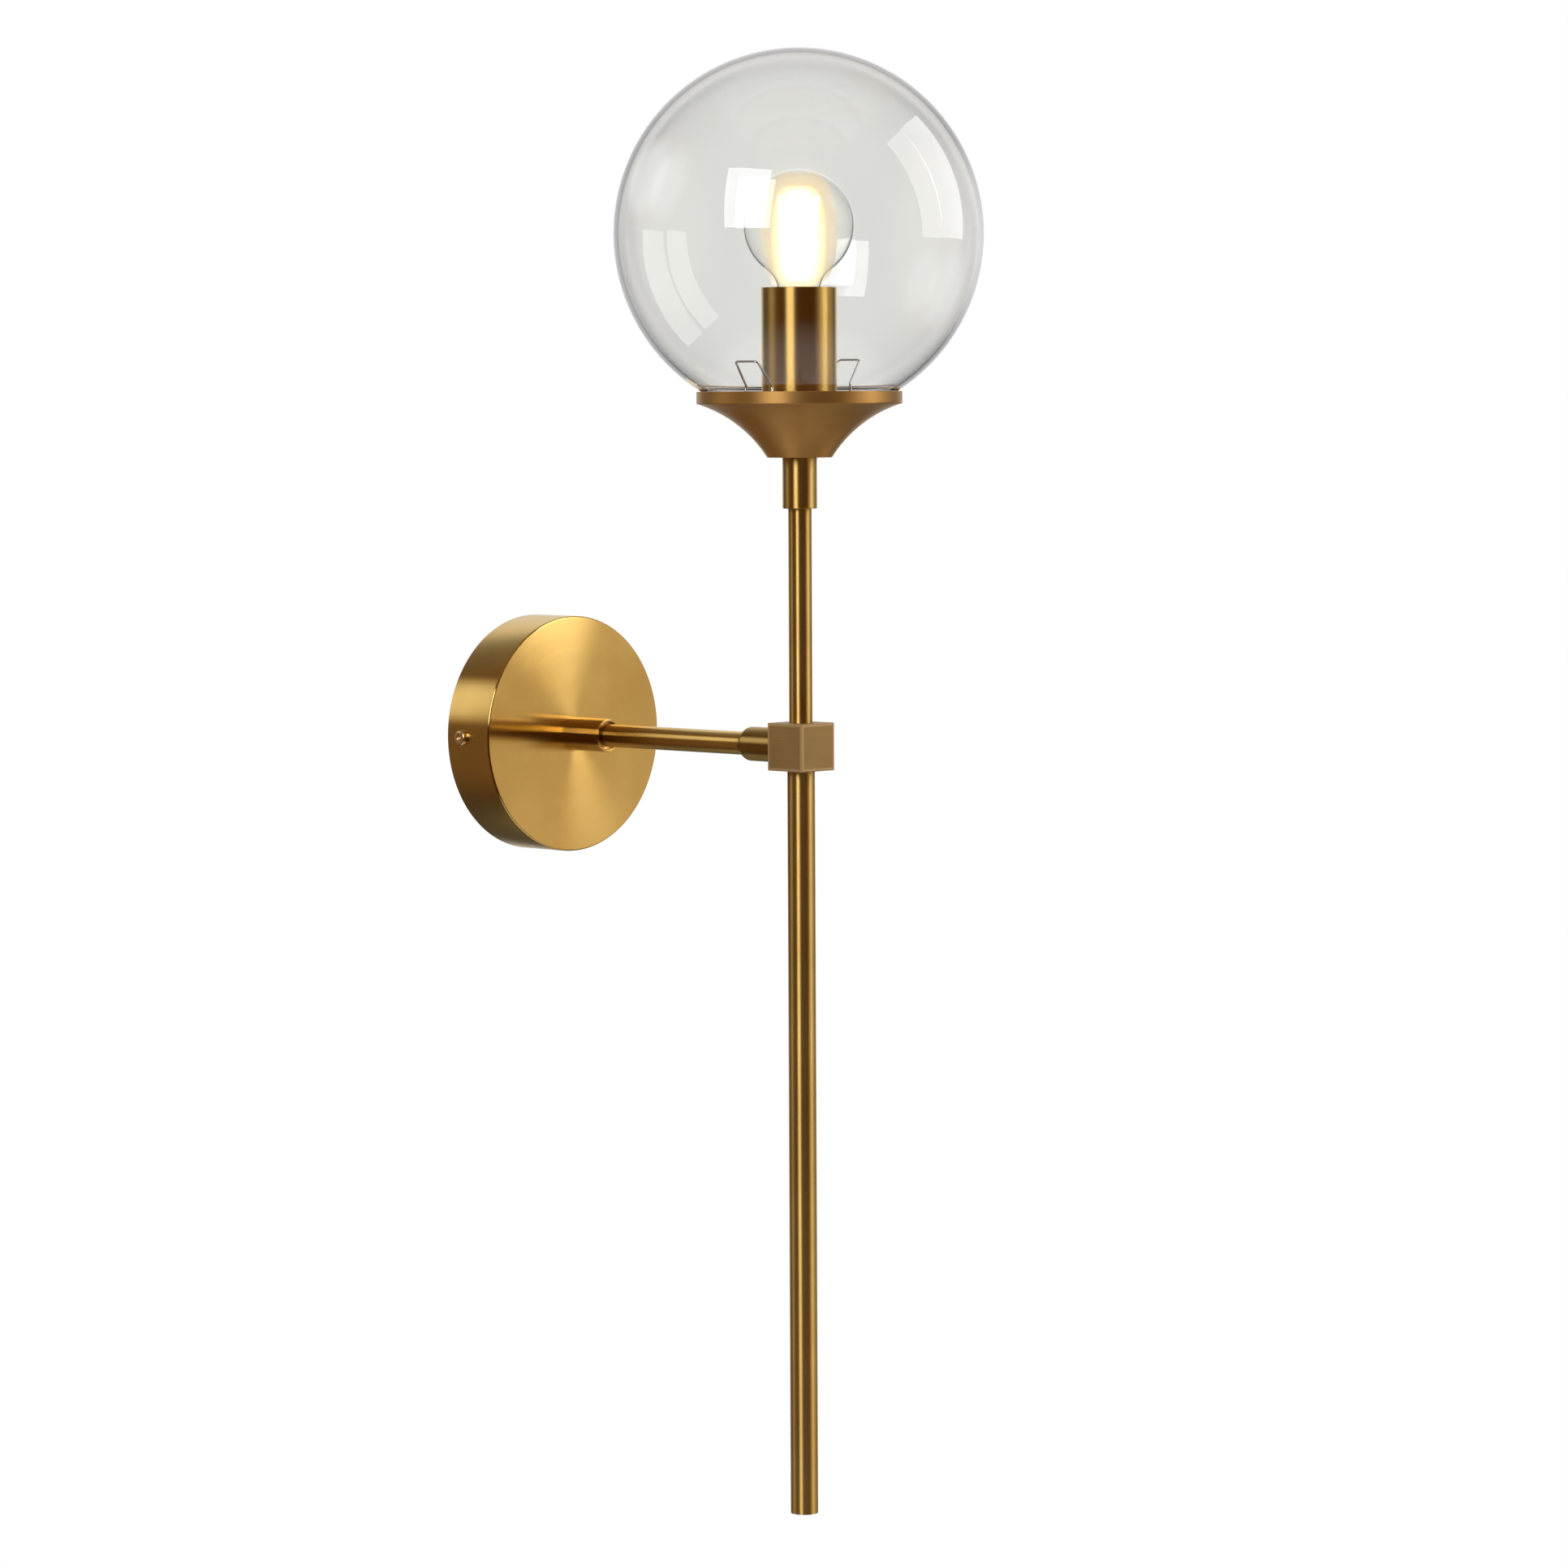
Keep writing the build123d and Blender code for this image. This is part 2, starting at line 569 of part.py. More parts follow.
# ---- cup, plate, gasket and globe ----
def make_flared_cup():
    """Spun trumpet with a banded rim, hollow inside, and a pocket for the plate and glass."""
    rim_r = RIM_D / 2
    skin = flare_curve(CUP_LOW, FLARE_TOP)
    step = Polyline(skin @ 1, (rim_r, FLARE_TOP), (rim_r, RIM_TOP), (0, RIM_TOP), (0, CUP_LOW), skin @ 0)
    cup = turned(skin, step)
    cup = fillet(edge_rings(cup, FLARE_TOP).sort_by(SortBy.RADIUS)[-1], RIM_UNDER_EDGE)
    cup = fillet(outer_ring(cup, RIM_TOP), RIM_TOP_EDGE)
    floor = CUP_LOW + CUP_FLOOR
    hollow_skin = flare_curve(floor, LEDGE, CUP_WALL)
    hollow = turned(hollow_skin, Polyline(hollow_skin @ 1, (0, LEDGE), (0, floor), hollow_skin @ 0))
    cup -= hollow
    cup -= rod(2 * POCKET_R, LEDGE, RIM_TOP)
    cup -= rod(NIPPLE_SEAT_D, CUP_LOW, floor)
    return on_rod(cup)


def clip_slot(side):
    """Radial slot in the plate for one leg of a clip."""
    slot = extrude(SlotOverall(CLIP_SLOT_L, CLIP_WIRE + 2 * CLIP_SLOT_GAP), GALLERY_T)
    return Pos(MOUTH_INNER_R - CLIP_FOOT_INSET, side * CLIP_FOOT_W / 2, LEDGE) * slot


def make_gallery_plate():
    plate = rod(2 * (POCKET_R - SLIDE_GAP), LEDGE, GALLERY_TOP)
    plate -= rod(NIPPLE_SEAT_D, LEDGE, GALLERY_TOP)
    for turn in (CLIP_TURN, CLIP_TURN + 180):
        for side in (-1, 1):
            plate -= Rot(0, 0, turn) * clip_slot(side)
    return on_rod(plate)


def make_glass_gasket():
    outer = POCKET_R - SLIDE_GAP
    return on_rod(tube(2 * outer, 2 * (outer - GASKET_W), GALLERY_TOP, GLASS_SEAT))


def make_globe():
    """Blown ball cut flat at the mouth, where it stands on the gasket."""
    ball = Pos(0, 0, GLOBE_Z) * (Sphere(GLOBE_R) - Sphere(GLOBE_R - GLOBE_WALL))
    return on_rod(split(ball, bisect_by=Plane.XY.offset(GLASS_SEAT), keep=Keep.TOP))


def make_clip(turn):
    """Sprung wire loop: feet under the plate, a kink at the glass edge and a top that leans out."""
    foot_r = MOUTH_INNER_R - CLIP_FOOT_INSET
    foot_z = LEDGE - CLIP_WIRE / 2
    kink = (MOUTH_INNER_R - CLIP_KINK_INSET, GALLERY_TOP + CLIP_KINK_HEIGHT)
    top = (MOUTH_INNER_R + CLIP_LEAN, GALLERY_TOP + CLIP_HEIGHT)
    half = [
        (foot_r - CLIP_FOOT_LENGTH, CLIP_FOOT_W / 2, foot_z),
        (foot_r, CLIP_FOOT_W / 2, foot_z),
        (kink[0], CLIP_KINK_W / 2, kink[1]),
        (top[0], CLIP_TOP_W / 2, top[1]),
    ]
    points = half + [(x, -y, z) for x, y, z in reversed(half)]
    radii = [CLIP_BEND] * (len(points) - 2)
    return on_rod(Rot(0, 0, turn) * wire_along(points, radii, CLIP_WIRE))


# ---- lampholder ----
def make_socket_cover():
    top = GALLERY_TOP + COVER_HEIGHT
    cover = rod(COVER_D, GALLERY_TOP, top)
    cover = fillet(outer_ring(cover, top), COVER_EDGE)
    return on_rod(cover - rod(COVER_D - 2 * COVER_WALL, GALLERY_TOP, top))


def make_holder_base():
    base = rod(HOLDER_D, GALLERY_TOP, HOLDER_DECK_LOW)
    base -= rod(HOLDER_D - 2 * HOLDER_BASE_WALL, STEM_NIPPLE_TOP, HOLDER_DECK_LOW)
    return on_rod(base - rod(NIPPLE_SEAT_D, GALLERY_TOP, STEM_NIPPLE_TOP))


def make_holder_body():
    body = rod(HOLDER_D, HOLDER_DECK_LOW, HOLDER_TOP)
    body -= rod(2 * (SHELL_OUTER_R + THREAD_GAP), HOLDER_DECK_TOP, HOLDER_TOP)
    body -= rod(CAP_SKIRT_D + 2 * FREE_GAP, SHELL_TOP, HOLDER_TOP)
    for side in (-1, 1):
        entry = rod(WIRE_D + 2 * SLIDE_GAP, HOLDER_DECK_LOW, HOLDER_DECK_TOP + HOLDER_DECK)
        body -= Pos(side * TERMINAL_WIRE_SPREAD / 2, 0, 0) * entry
    return on_rod(body)


def make_screw_shell():
    low = SHELL_TOP - SHELL_HEIGHT
    shell = tube(2 * SHELL_OUTER_R, 2 * SHELL_BORE_R, low, SHELL_TOP)
    return on_rod(shell + tube(2 * SHELL_OUTER_R, SHELL_BOTTOM_D, low, low + SHELL_WALL))


def make_centre_contact():
    """Bowed leaf that presses on the lamp's tip."""
    half = CONTACT_L / 2
    low, high = HOLDER_DECK_TOP, HOLDER_DECK_TOP + CONTACT_RISE
    shape = [(half, low), (half / 2, low), (half / 4, high - CONTACT_T)]
    back = [(half / 4, high), (half / 2, low + CONTACT_T), (half, low + CONTACT_T)]
    mirrored = [(-x, z) for x, z in reversed(shape)] + [(-x, z) for x, z in reversed(back)]
    outline = make_face(Polyline(*shape, *mirrored, *back, close=True))
    return on_rod(Pos(-CONTACT_W / 2, 0, 0) * extrude(Plane.YZ * outline, CONTACT_W))


# ---- lamp ----
def bulb_neck_curve(wall=0.0):
    """Arc from the upright neck to where it meets the ball, tangent to both."""
    neck_r = BULB_NECK_D / 2 - wall
    ball_r = BULB_D / 2 - wall
    neck_top = CAP_TOP + BULB_NECK_RUN
    drop = BULB_Z - neck_top
    radius = (neck_r**2 + drop**2 - ball_r**2) / (2 * (ball_r - neck_r))
    centre_r = neck_r + radius
    scale = ball_r / (ball_r + radius)
    join = (centre_r * scale, BULB_Z - drop * scale)
    middle_r = (neck_r + join[0]) / 2 - centre_r
    middle_z = (neck_top + join[1]) / 2 - neck_top
    stretch = radius / sqrt(middle_r**2 + middle_z**2)
    middle = (centre_r + middle_r * stretch, neck_top + middle_z * stretch)
    return ThreePointArc((neck_r, neck_top), middle, join)


def bulb_form(wall=0.0):
    neck = bulb_neck_curve(wall)
    ball_r = BULB_D / 2 - wall
    join = neck @ 1
    half_way = radians(45)
    side = (ball_r * cos(half_way), BULB_Z + ball_r * sin(half_way))
    dome = ThreePointArc((join.X, join.Y), side, (0, BULB_Z + ball_r))
    foot = Polyline((0, BULB_Z + ball_r), (0, CAP_TOP), (BULB_NECK_D / 2 - wall, CAP_TOP), neck @ 0)
    return turned(neck, dome, foot)


def make_bulb_glass():
    return on_rod(bulb_form() - bulb_form(BULB_WALL))


def make_bulb_stem():
    """Flared glass foot, stem and post that carry the filaments."""
    inside = BULB_NECK_D - 2 * BULB_WALL - 2 * THREAD_GAP
    stem = rod(inside, CAP_TOP, CAP_TOP + STEM_FLARE_H)
    stem += rod(STEM_D, CAP_TOP, STEM_TOP)
    stem += rod(POST_D, STEM_TOP, FILAMENT_HIGH)
    return on_rod(stem)


def round_bar(line, diameter):
    return sweep(Plane(origin=line @ 0, z_dir=line % 0) * Circle(diameter / 2), path=line)


def make_bulb_filaments():
    """Light-giving bars in a ring, leaning outwards a little at the top."""
    line = Line((FILAMENT_LOW_R, 0, FILAMENT_LOW), (FILAMENT_HIGH_R, 0, FILAMENT_HIGH))
    turns = [Rot(0, 0, 360 * (i + 0.5) / FILAMENTS) for i in range(FILAMENTS)]
    return on_rod(Compound([turn * round_bar(line, FILAMENT_D) for turn in turns]))


def make_filament_leads():
    """Short level wires from the stem to the filaments' feet and from the post to their heads."""
    wires = []
    lean = (FILAMENT_HIGH_R - FILAMENT_LOW_R) / FILAMENT_LENGTH
    for i in range(FILAMENTS):
        turn = Rot(0, 0, 360 * (i + 0.5) / FILAMENTS)
        foot_level = STEM_TOP - LEAD_DROP
        foot = Line((STEM_D / 2 + THREAD_GAP, 0, foot_level), (FILAMENT_LOW_R, 0, foot_level))
        riser_top = FILAMENT_LOW - FILAMENT_D / 2 * lean - THREAD_GAP
        riser = Line((FILAMENT_LOW_R, 0, foot_level), (FILAMENT_LOW_R, 0, riser_top))
        lower = round_bar(foot, LEAD_D) + Pos(*(foot @ 1)) * Sphere(LEAD_D / 2) + round_bar(riser, LEAD_D)
        head_level = FILAMENT_HIGH - LEAD_DROP
        head_r = FILAMENT_HIGH_R - lean * (LEAD_DROP + LEAD_D / 2) - FILAMENT_D / 2 - THREAD_GAP
        head = Line((POST_D / 2 + THREAD_GAP, 0, head_level), (head_r, 0, head_level))
        wires += [turn * lower, turn * round_bar(head, LEAD_D)]
    return on_rod(Compound(wires))


def make_bulb_cap():
    """Plated shell: skirt at the glass, threaded barrel and a closed lower edge."""
    thread_low = BULB_TIP + TIP_H + INSULATOR_H
    outer = turned_points(
        (0, thread_low), (CAP_THREAD_D / 2 - CAP_EDGE, thread_low),
        (CAP_THREAD_D / 2, thread_low + CAP_EDGE), (CAP_THREAD_D / 2, CAP_TOP - CAP_SKIRT_H),
        (CAP_SKIRT_D / 2, CAP_TOP - CAP_SKIRT_H / 3), (CAP_SKIRT_D / 2, CAP_TOP), (0, CAP_TOP),
    )
    inner = turned_points(
        (0, thread_low + CAP_WALL), (CAP_THREAD_D / 2 - CAP_EDGE - CAP_WALL, thread_low + CAP_WALL),
        (CAP_THREAD_D / 2 - CAP_WALL, thread_low + CAP_EDGE + CAP_WALL),
        (CAP_THREAD_D / 2 - CAP_WALL, CAP_TOP - CAP_SKIRT_H),
        (CAP_SKIRT_D / 2 - CAP_WALL, CAP_TOP - CAP_SKIRT_H / 3), (CAP_SKIRT_D / 2 - CAP_WALL, CAP_TOP),
        (0, CAP_TOP),
    )
    return on_rod(outer - inner)


def make_bulb_insulator():
    low = BULB_TIP + TIP_H
    high = low + INSULATOR_H
    return on_rod(turned_points(
        (0, low), (TIP_D / 2, low), (CAP_THREAD_D / 2 - CAP_EDGE, high), (0, high),
    ))


def make_bulb_tip():
    tip = rod(TIP_D, BULB_TIP, BULB_TIP + TIP_H)
    return on_rod(fillet(outer_ring(tip, BULB_TIP), TIP_ROUND))


# ---- wires ----
def make_lamp_wire(side):
    """Terminal pole, down behind the nipple, along the arm, round the block and up to the lampholder."""
    pole_x = side * POLE_SPACING / 2
    lane_x = side * WIRE_LANE_X
    entry_x = side * TERMINAL_WIRE_SPREAD / 2
    pole_low = TERMINAL_MID - TERMINAL_H / 2
    arm_z = -WIRE_LANE_SIDE
    rise_y = -REACH - WIRE_LANE_SIDE
    points = [
        (pole_x, -WIRE_RISER_DEPTH, pole_low + WIRE_IN_POLE),
        (pole_x, -WIRE_RISER_DEPTH, pole_low - WIRE_BELOW_POLE),
        (lane_x, -WIRE_RISER_DEPTH, arm_z),
        (lane_x, rise_y, arm_z),
        (lane_x, rise_y, STEM_NIPPLE_TOP + WIRE_PAST_NIPPLE),
        (entry_x, -REACH, HOLDER_DECK_LOW - WIRE_BELOW_DECK),
        (entry_x, -REACH, HOLDER_DECK_TOP),
    ]
    radii = [WIRE_CANOPY_BEND, WIRE_CANOPY_BEND, WIRE_BLOCK_BEND, WIRE_SPREAD_BEND, WIRE_ENTRY_BEND]
    return wire_along(points, radii, WIRE_D)


def make_earth_wire():
    """From the plate's tag up beside the plate and out to the tag under the canopy's nut."""
    depth = PLATE_T + CRIMP_D / 2
    start_z = -EARTH_SCREW_DROP + PLATE_TAG_REACH
    points = [
        (0, -depth, start_z),
        (0, -depth, -BODY_TAG_REACH),
        (0, -(NUT_BACK + NUT_H), -BODY_TAG_REACH),
    ]
    return wire_along(points, [WIRE_EARTH_BEND], WIRE_D)


PARTS = {
    "mounting_plate": make_mounting_plate,
    "terminal_block": make_terminal_block,
    "terminal_poles": make_terminal_poles,
    "terminal_screws": make_terminal_screws,
    "terminal_fixing_screw": make_terminal_fixing_screw,
    "earth_screw": make_earth_screw,
    "earth_plate_tag": make_earth_plate_tag,
    "earth_body_tag": make_earth_body_tag,
    "earth_wire": make_earth_wire,
    "canopy": make_canopy,
    "canopy_screws": make_canopy_screws,
    "canopy_nipple": make_canopy_nipple,
    "canopy_washer": make_canopy_washer,
    "canopy_nut": make_canopy_nut,
    "arm_base_collar": make_arm_base_collar,
    "arm_tube": make_arm_tube,
    "arm_end_collar": make_arm_end_collar,
    "block_nipple": make_block_nipple,
    "cross_block": make_cross_block,
    "upper_tube": make_upper_tube,
    "stem_sleeve": make_stem_sleeve,
    "lower_rod": make_lower_rod,
    "rod_insert": make_rod_insert,
    "rod_stud": make_rod_stud,
    "rod_end_plug": make_rod_end_plug,
    "stem_nipple": make_stem_nipple,
    "cup_nut": make_cup_nut,
    "flared_cup": make_flared_cup,
    "gallery_plate": make_gallery_plate,
    "glass_gasket": make_glass_gasket,
    "globe": make_globe,
    "clip_right": lambda: make_clip(CLIP_TURN),
    "clip_left": lambda: make_clip(CLIP_TURN + 180),
    "socket_cover": make_socket_cover,
    "holder_base": make_holder_base,
    "holder_body": make_holder_body,
    "screw_shell": make_screw_shell,
    "centre_contact": make_centre_contact,
    "bulb_glass": make_bulb_glass,
    "bulb_stem": make_bulb_stem,
    "bulb_filaments": make_bulb_filaments,
    "filament_leads": make_filament_leads,
    "bulb_cap": make_bulb_cap,
    "bulb_insulator": make_bulb_insulator,
    "bulb_tip": make_bulb_tip,
    "live_wire": lambda: make_lamp_wire(1),
    "neutral_wire": lambda: make_lamp_wire(-1),
}

os.makedirs("parts", exist_ok=True)
for name, make in PARTS.items():
    export_step(make(), f"parts/{name}.step")
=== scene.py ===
from math import asin, atan2, cos, degrees, hypot, pi, radians, sin, sqrt, tan, tau

import bpy
from mathutils import Matrix, Vector


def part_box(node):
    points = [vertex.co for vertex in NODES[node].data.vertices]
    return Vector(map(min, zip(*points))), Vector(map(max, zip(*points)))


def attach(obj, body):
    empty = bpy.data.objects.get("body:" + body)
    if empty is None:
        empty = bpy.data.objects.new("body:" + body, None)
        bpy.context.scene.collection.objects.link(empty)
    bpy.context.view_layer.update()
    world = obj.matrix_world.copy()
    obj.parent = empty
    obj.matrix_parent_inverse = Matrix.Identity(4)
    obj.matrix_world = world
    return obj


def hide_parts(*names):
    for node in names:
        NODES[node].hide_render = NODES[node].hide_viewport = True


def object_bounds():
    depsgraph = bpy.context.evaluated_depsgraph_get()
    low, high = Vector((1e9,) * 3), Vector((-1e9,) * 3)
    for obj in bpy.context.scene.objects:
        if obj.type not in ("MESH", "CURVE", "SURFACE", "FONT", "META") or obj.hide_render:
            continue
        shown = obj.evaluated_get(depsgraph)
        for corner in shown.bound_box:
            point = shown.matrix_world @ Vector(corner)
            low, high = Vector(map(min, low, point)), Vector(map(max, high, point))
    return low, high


# Looks for the globe wall sconce: satin brass, a clear blown ball and a lit lamp.
# Lengths are metres in the frame of the solids: +X right, +Z up, -Y out of the wall.

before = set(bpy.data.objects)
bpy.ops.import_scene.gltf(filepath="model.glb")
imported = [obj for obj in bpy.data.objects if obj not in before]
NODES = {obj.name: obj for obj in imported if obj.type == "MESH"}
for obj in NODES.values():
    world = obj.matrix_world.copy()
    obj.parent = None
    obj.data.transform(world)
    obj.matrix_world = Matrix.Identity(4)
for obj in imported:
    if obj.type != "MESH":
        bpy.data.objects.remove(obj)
cad_low, cad_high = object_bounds()

MM = 0.001


# ---- places and sizes, most of them read from the solids ----
def middle(node):
    low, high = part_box(node)
    return (low + high) / 2


def half_width(node):
    low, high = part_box(node)
    return (high.x - low.x) / 2


def low_of(node):
    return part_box(node)[0].z


def high_of(node):
    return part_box(node)[1].z


ROD_Y = middle("lower_rod").y
ROD = Vector((0, ROD_Y, 0))
GLOBE_R = half_width("globe")
GLOBE_WALL = 2.0 * MM
GLOBE_Z = high_of("globe") - GLOBE_R
GLASS_SEAT = low_of("globe")
LAMP_R = half_width("bulb_glass")
LAMP_NECK_R = 8.6 * MM
LAMP_WALL = 0.6 * MM
LAMP_Z = high_of("bulb_glass") - LAMP_R
LAMP_FOOT = low_of("bulb_glass")
CANOPY_FACE_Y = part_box("canopy")[0].y
BORE_R = 3.75 * MM
OUT_OF_WALL = Matrix.Rotation(pi / 2, 4, "X")


# ---- node trees ----
class Signal:
    """An output in a node tree. Sums on it add Math nodes."""

    def __init__(self, tree, out):
        self.tree = tree
        self.out = out

    def __add__(self, other):
        return self.tree.math("ADD", self, other)

    def __sub__(self, other):
        return self.tree.math("SUBTRACT", self, other)

    def __rsub__(self, other):
        return self.tree.math("SUBTRACT", other, self)

    def __mul__(self, other):
        return self.tree.math("MULTIPLY", self, other)

    def __pow__(self, other):
        return self.tree.math("POWER", self, other)

    __radd__ = __add__
    __rmul__ = __mul__


def four(value):
    """A colour with its alpha."""
    return (*value, 1.0) if isinstance(value, tuple) and len(value) == 3 else value


def shade(tone, amount):
    return tuple(c * amount for c in tone)


class Tree:
    """The nodes of one material, or of the world."""

    def __init__(self, owner):
        self.owner = owner
        owner.use_nodes = True
        self.nodes = owner.node_tree.nodes
        self.links = owner.node_tree.links
        self.nodes.clear()

    def node(self, kind, settings=None, sockets=None, output=0):
        """Adds a node: its settings first, then the values or links of its sockets."""
        made = self.nodes.new("ShaderNode" + kind)
        for key, value in (settings or {}).items():
            setattr(made, key, value)
        for key, value in (sockets or {}).items():
            socket = made.inputs[key]
            if isinstance(value, Signal):
                self.links.new(value.out, socket)
            elif socket.type == "RGBA":
                socket.default_value = four(value)
            else:
                socket.default_value = value
        return Signal(self, made.outputs[output]) if made.outputs else None

    def math(self, operation, *values):
        return self.node("Math", {"operation": operation}, dict(enumerate(values)))

    def vector(self, operation, first, second=(0, 0, 0), output=0):
        return self.node("VectorMath", {"operation": operation}, {0: first, 1: second}, output)

    def dot(self, first, second):
        return self.vector("DOT_PRODUCT", first, second, output=1)

    def scaled(self, vector, amount):
        return self.node("VectorMath", {"operation": "SCALE"}, {0: vector, "Scale": amount})

    def blend(self, amount, first, second):
        """Mixes two colours."""
        return self.node("Mix", {"data_type": "RGBA"}, {0: amount, 6: first, 7: second}, 2)

    def step(self, value, low, high, start=0.0, end=1.0):
        """Runs smoothly from start to end while value goes from low to high."""
        settings = {"interpolation_type": "SMOOTHSTEP"}
        sockets = {0: value, 1: low, 2: high, 3: start, 4: end}
        return self.node("MapRange", settings, sockets)

    def place(self):
        """Where a point is, in the frame of the solids."""
        return self.node("TexCoord", output="Object")

    def split(self, vector):
        made = self.node("SeparateXYZ", sockets={0: vector})
        outputs = made.out.node.outputs
        return [Signal(self, outputs[i]) for i in range(3)]

    def join(self, x, y, z):
        return self.node("CombineXYZ", sockets={0: x, 1: y, 2: z})

    def noise(self, vector, scale, detail=2.0, roughness=0.5):
        sockets = {"Vector": vector, "Scale": scale, "Detail": detail, "Roughness": roughness}
        return self.node("TexNoise", sockets=sockets, output="Fac")

    def bump(self, height, distance, strength):
        sockets = {"Height": height, "Distance": distance, "Strength": strength}
        return self.node("Bump", sockets=sockets, output="Normal")

    def facing(self):
        """0 where a surface faces the viewer and 1 where it is seen edge on."""
        return self.node("LayerWeight", sockets={"Blend": 0.5}, output="Facing")

    def looked_at(self):
        """1 on what the camera sees, bare or through glass, and 0 for any other light."""
        camera = self.node("LightPath", output="Is Camera Ray")
        through = self.node("LightPath", output="Is Transmission Ray")
        return self.math("MAXIMUM", camera, through)

    def clear(self):
        return self.node("BsdfTransparent", sockets={"Color": (1.0, 1.0, 1.0)})

    def show(self, shader):
        kind = "OutputWorld" if isinstance(self.owner, bpy.types.World) else "OutputMaterial"
        self.node(kind, sockets={"Surface": shader})
        return self.owner


def finish(name):
    return Tree(bpy.data.materials.new(name))


# ---- brass ----
BRASS_PALE = (0.78, 0.53, 0.17)
BRASS_DEEP = (0.69, 0.445, 0.13)
BRASS_BLOCK = (0.40, 0.253, 0.096)
# Paler brass painted along the block's edges: a painted highlight for the light on its bevels.
BRASS_EDGE_HIGHLIGHT = (0.62, 0.45, 0.24)
BRASS_CUP = (0.63, 0.355, 0.11)

# How many brush lines there are to a metre.
FINE_LINES = 2400.0
BROAD_LINES = 700.0
BLOCK_LINES = 4200.0

# How far from an edge of the block its painted highlight starts, and where it is full.
EDGE_HIGHLIGHT_START = 1.6 * MM
EDGE_HIGHLIGHT_FULL = 0.5 * MM


def turned_brass(name, pale, deep, rough, centre=(0.0, 0.0, 0.0), metal=1.0, smear=1.0):
    """Brass brushed on the lathe: its lines run round Z, so that light smears along the profile."""
    tree = finish(name)
    x, y, z = tree.split(tree.vector("SUBTRACT", tree.place(), tuple(centre)))
    radius = tree.math("SQRT", x * x + y * y)
    angle = tree.math("ARCTAN2", y, x)
    along = radius + z
    fine = tree.noise(tree.join(along * FINE_LINES, angle * 1.3, 0.0), 1.0, 3.0, 0.6)
    broad = tree.noise(tree.join(along * BROAD_LINES, angle * 0.7, 4.0), 1.0, 2.0, 0.5)
    clouds = tree.noise(tree.place(), 30.0, 3.0)
    mask = tree.step(fine * 0.1 + broad * 0.12 + clouds * 0.78, 0.32, 0.68)
    return tree.show(tree.node("BsdfPrincipled", sockets={
        "Base Color": tree.blend(mask, deep, pale), "Metallic": metal,
        "Roughness": rough - 0.01 + fine * 0.02,
        "Anisotropic": smear, "Anisotropic Rotation": 0.25,
    }))


def block_brass():
    """Flat faces brushed level, softer and browner than the round stock, with a painted highlight
    along the edges where the bevels would catch the light.
    """
    tree = finish("satin_brass_block")
    place = tree.place()
    low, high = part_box("cross_block")
    offset = tree.vector("SUBTRACT", place, tuple(middle("cross_block")))
    near = [
        tree.step(along, half - EDGE_HIGHLIGHT_START, half - EDGE_HIGHLIGHT_FULL)
        for along, half in zip(tree.split(tree.vector("ABSOLUTE", offset)), (high - low) / 2)
    ]
    edges = [tree.math("MINIMUM", near[i], near[i - 1]) for i in range(3)]
    painted_edge_highlight = tree.math("MAXIMUM", tree.math("MAXIMUM", edges[0], edges[1]), edges[2])
    lines = tree.noise(tree.vector("MULTIPLY", place, (60.0, 60.0, BLOCK_LINES)), 1.0, 3.0, 0.7)
    clouds = tree.noise(place, 90.0, 2.0)
    mask = tree.step(lines * 0.6 + clouds * 0.4, 0.3, 0.7)
    satin = tree.blend(mask, shade(BRASS_BLOCK, 0.86), BRASS_BLOCK)
    normal = tree.node("NewGeometry", output="Normal")
    leaned = tree.vector("ADD", normal, tree.scaled((0.0, 0.0, 1.0), (lines - 0.5) * 0.12))
    return tree.show(tree.node("BsdfPrincipled", sockets={
        # The edges are painted paler: a painted highlight standing in for the light caught by the
        # block's bevels.
        "Base Color": tree.blend(painted_edge_highlight * 0.8, satin, BRASS_EDGE_HIGHLIGHT), "Metallic": 0.72,
        "Roughness": 0.48 + lines * 0.08, "Normal": tree.vector("NORMALIZE", leaned),
    }))


# ---- other finishes ----
def plated_steel(name, tone, rough=0.28):
    tree = finish(name)
    spots = tree.noise(tree.place(), 900.0, 3.0)
    return tree.show(tree.node("BsdfPrincipled", sockets={
        "Base Color": tree.blend(spots, shade(tone, 0.86), tone), "Metallic": 1.0,
        "Roughness": rough + spots * 0.12, "Normal": tree.bump(spots, 0.02 * MM, 0.4),
    }))


def moulded(name, tone, rough=0.45, grain=2600.0, depth=0.03 * MM):
    tree = finish(name)
    pits = tree.noise(tree.place(), grain, 2.0)
    return tree.show(tree.node("BsdfPrincipled", sockets={
        "Base Color": tree.blend(pits, shade(tone, 0.88), tone),
        "Roughness": rough + pits * 0.1, "Normal": tree.bump(pits, depth, 0.5),
    }))


def striped_cover():
    """Earth wire: one side green, the other yellow."""
    tree = finish("earth_wire_cover")
    place = tree.place()
    x = tree.split(place)[0]
    wander = tree.noise(place, 300.0, 2.0) * 0.2 * MM
    side = tree.step(x + wander, 0.05 * MM, 0.15 * MM)
    tone = tree.blend(side, (0.08, 0.36, 0.06), (0.86, 0.70, 0.04))
    return tree.show(tree.node("BsdfPrincipled", sockets={
        "Base Color": tone, "Roughness": 0.4 + tree.noise(place, 4000.0) * 0.1,
    }))


SLANTED_TINT = (0.99, 0.995, 0.985)


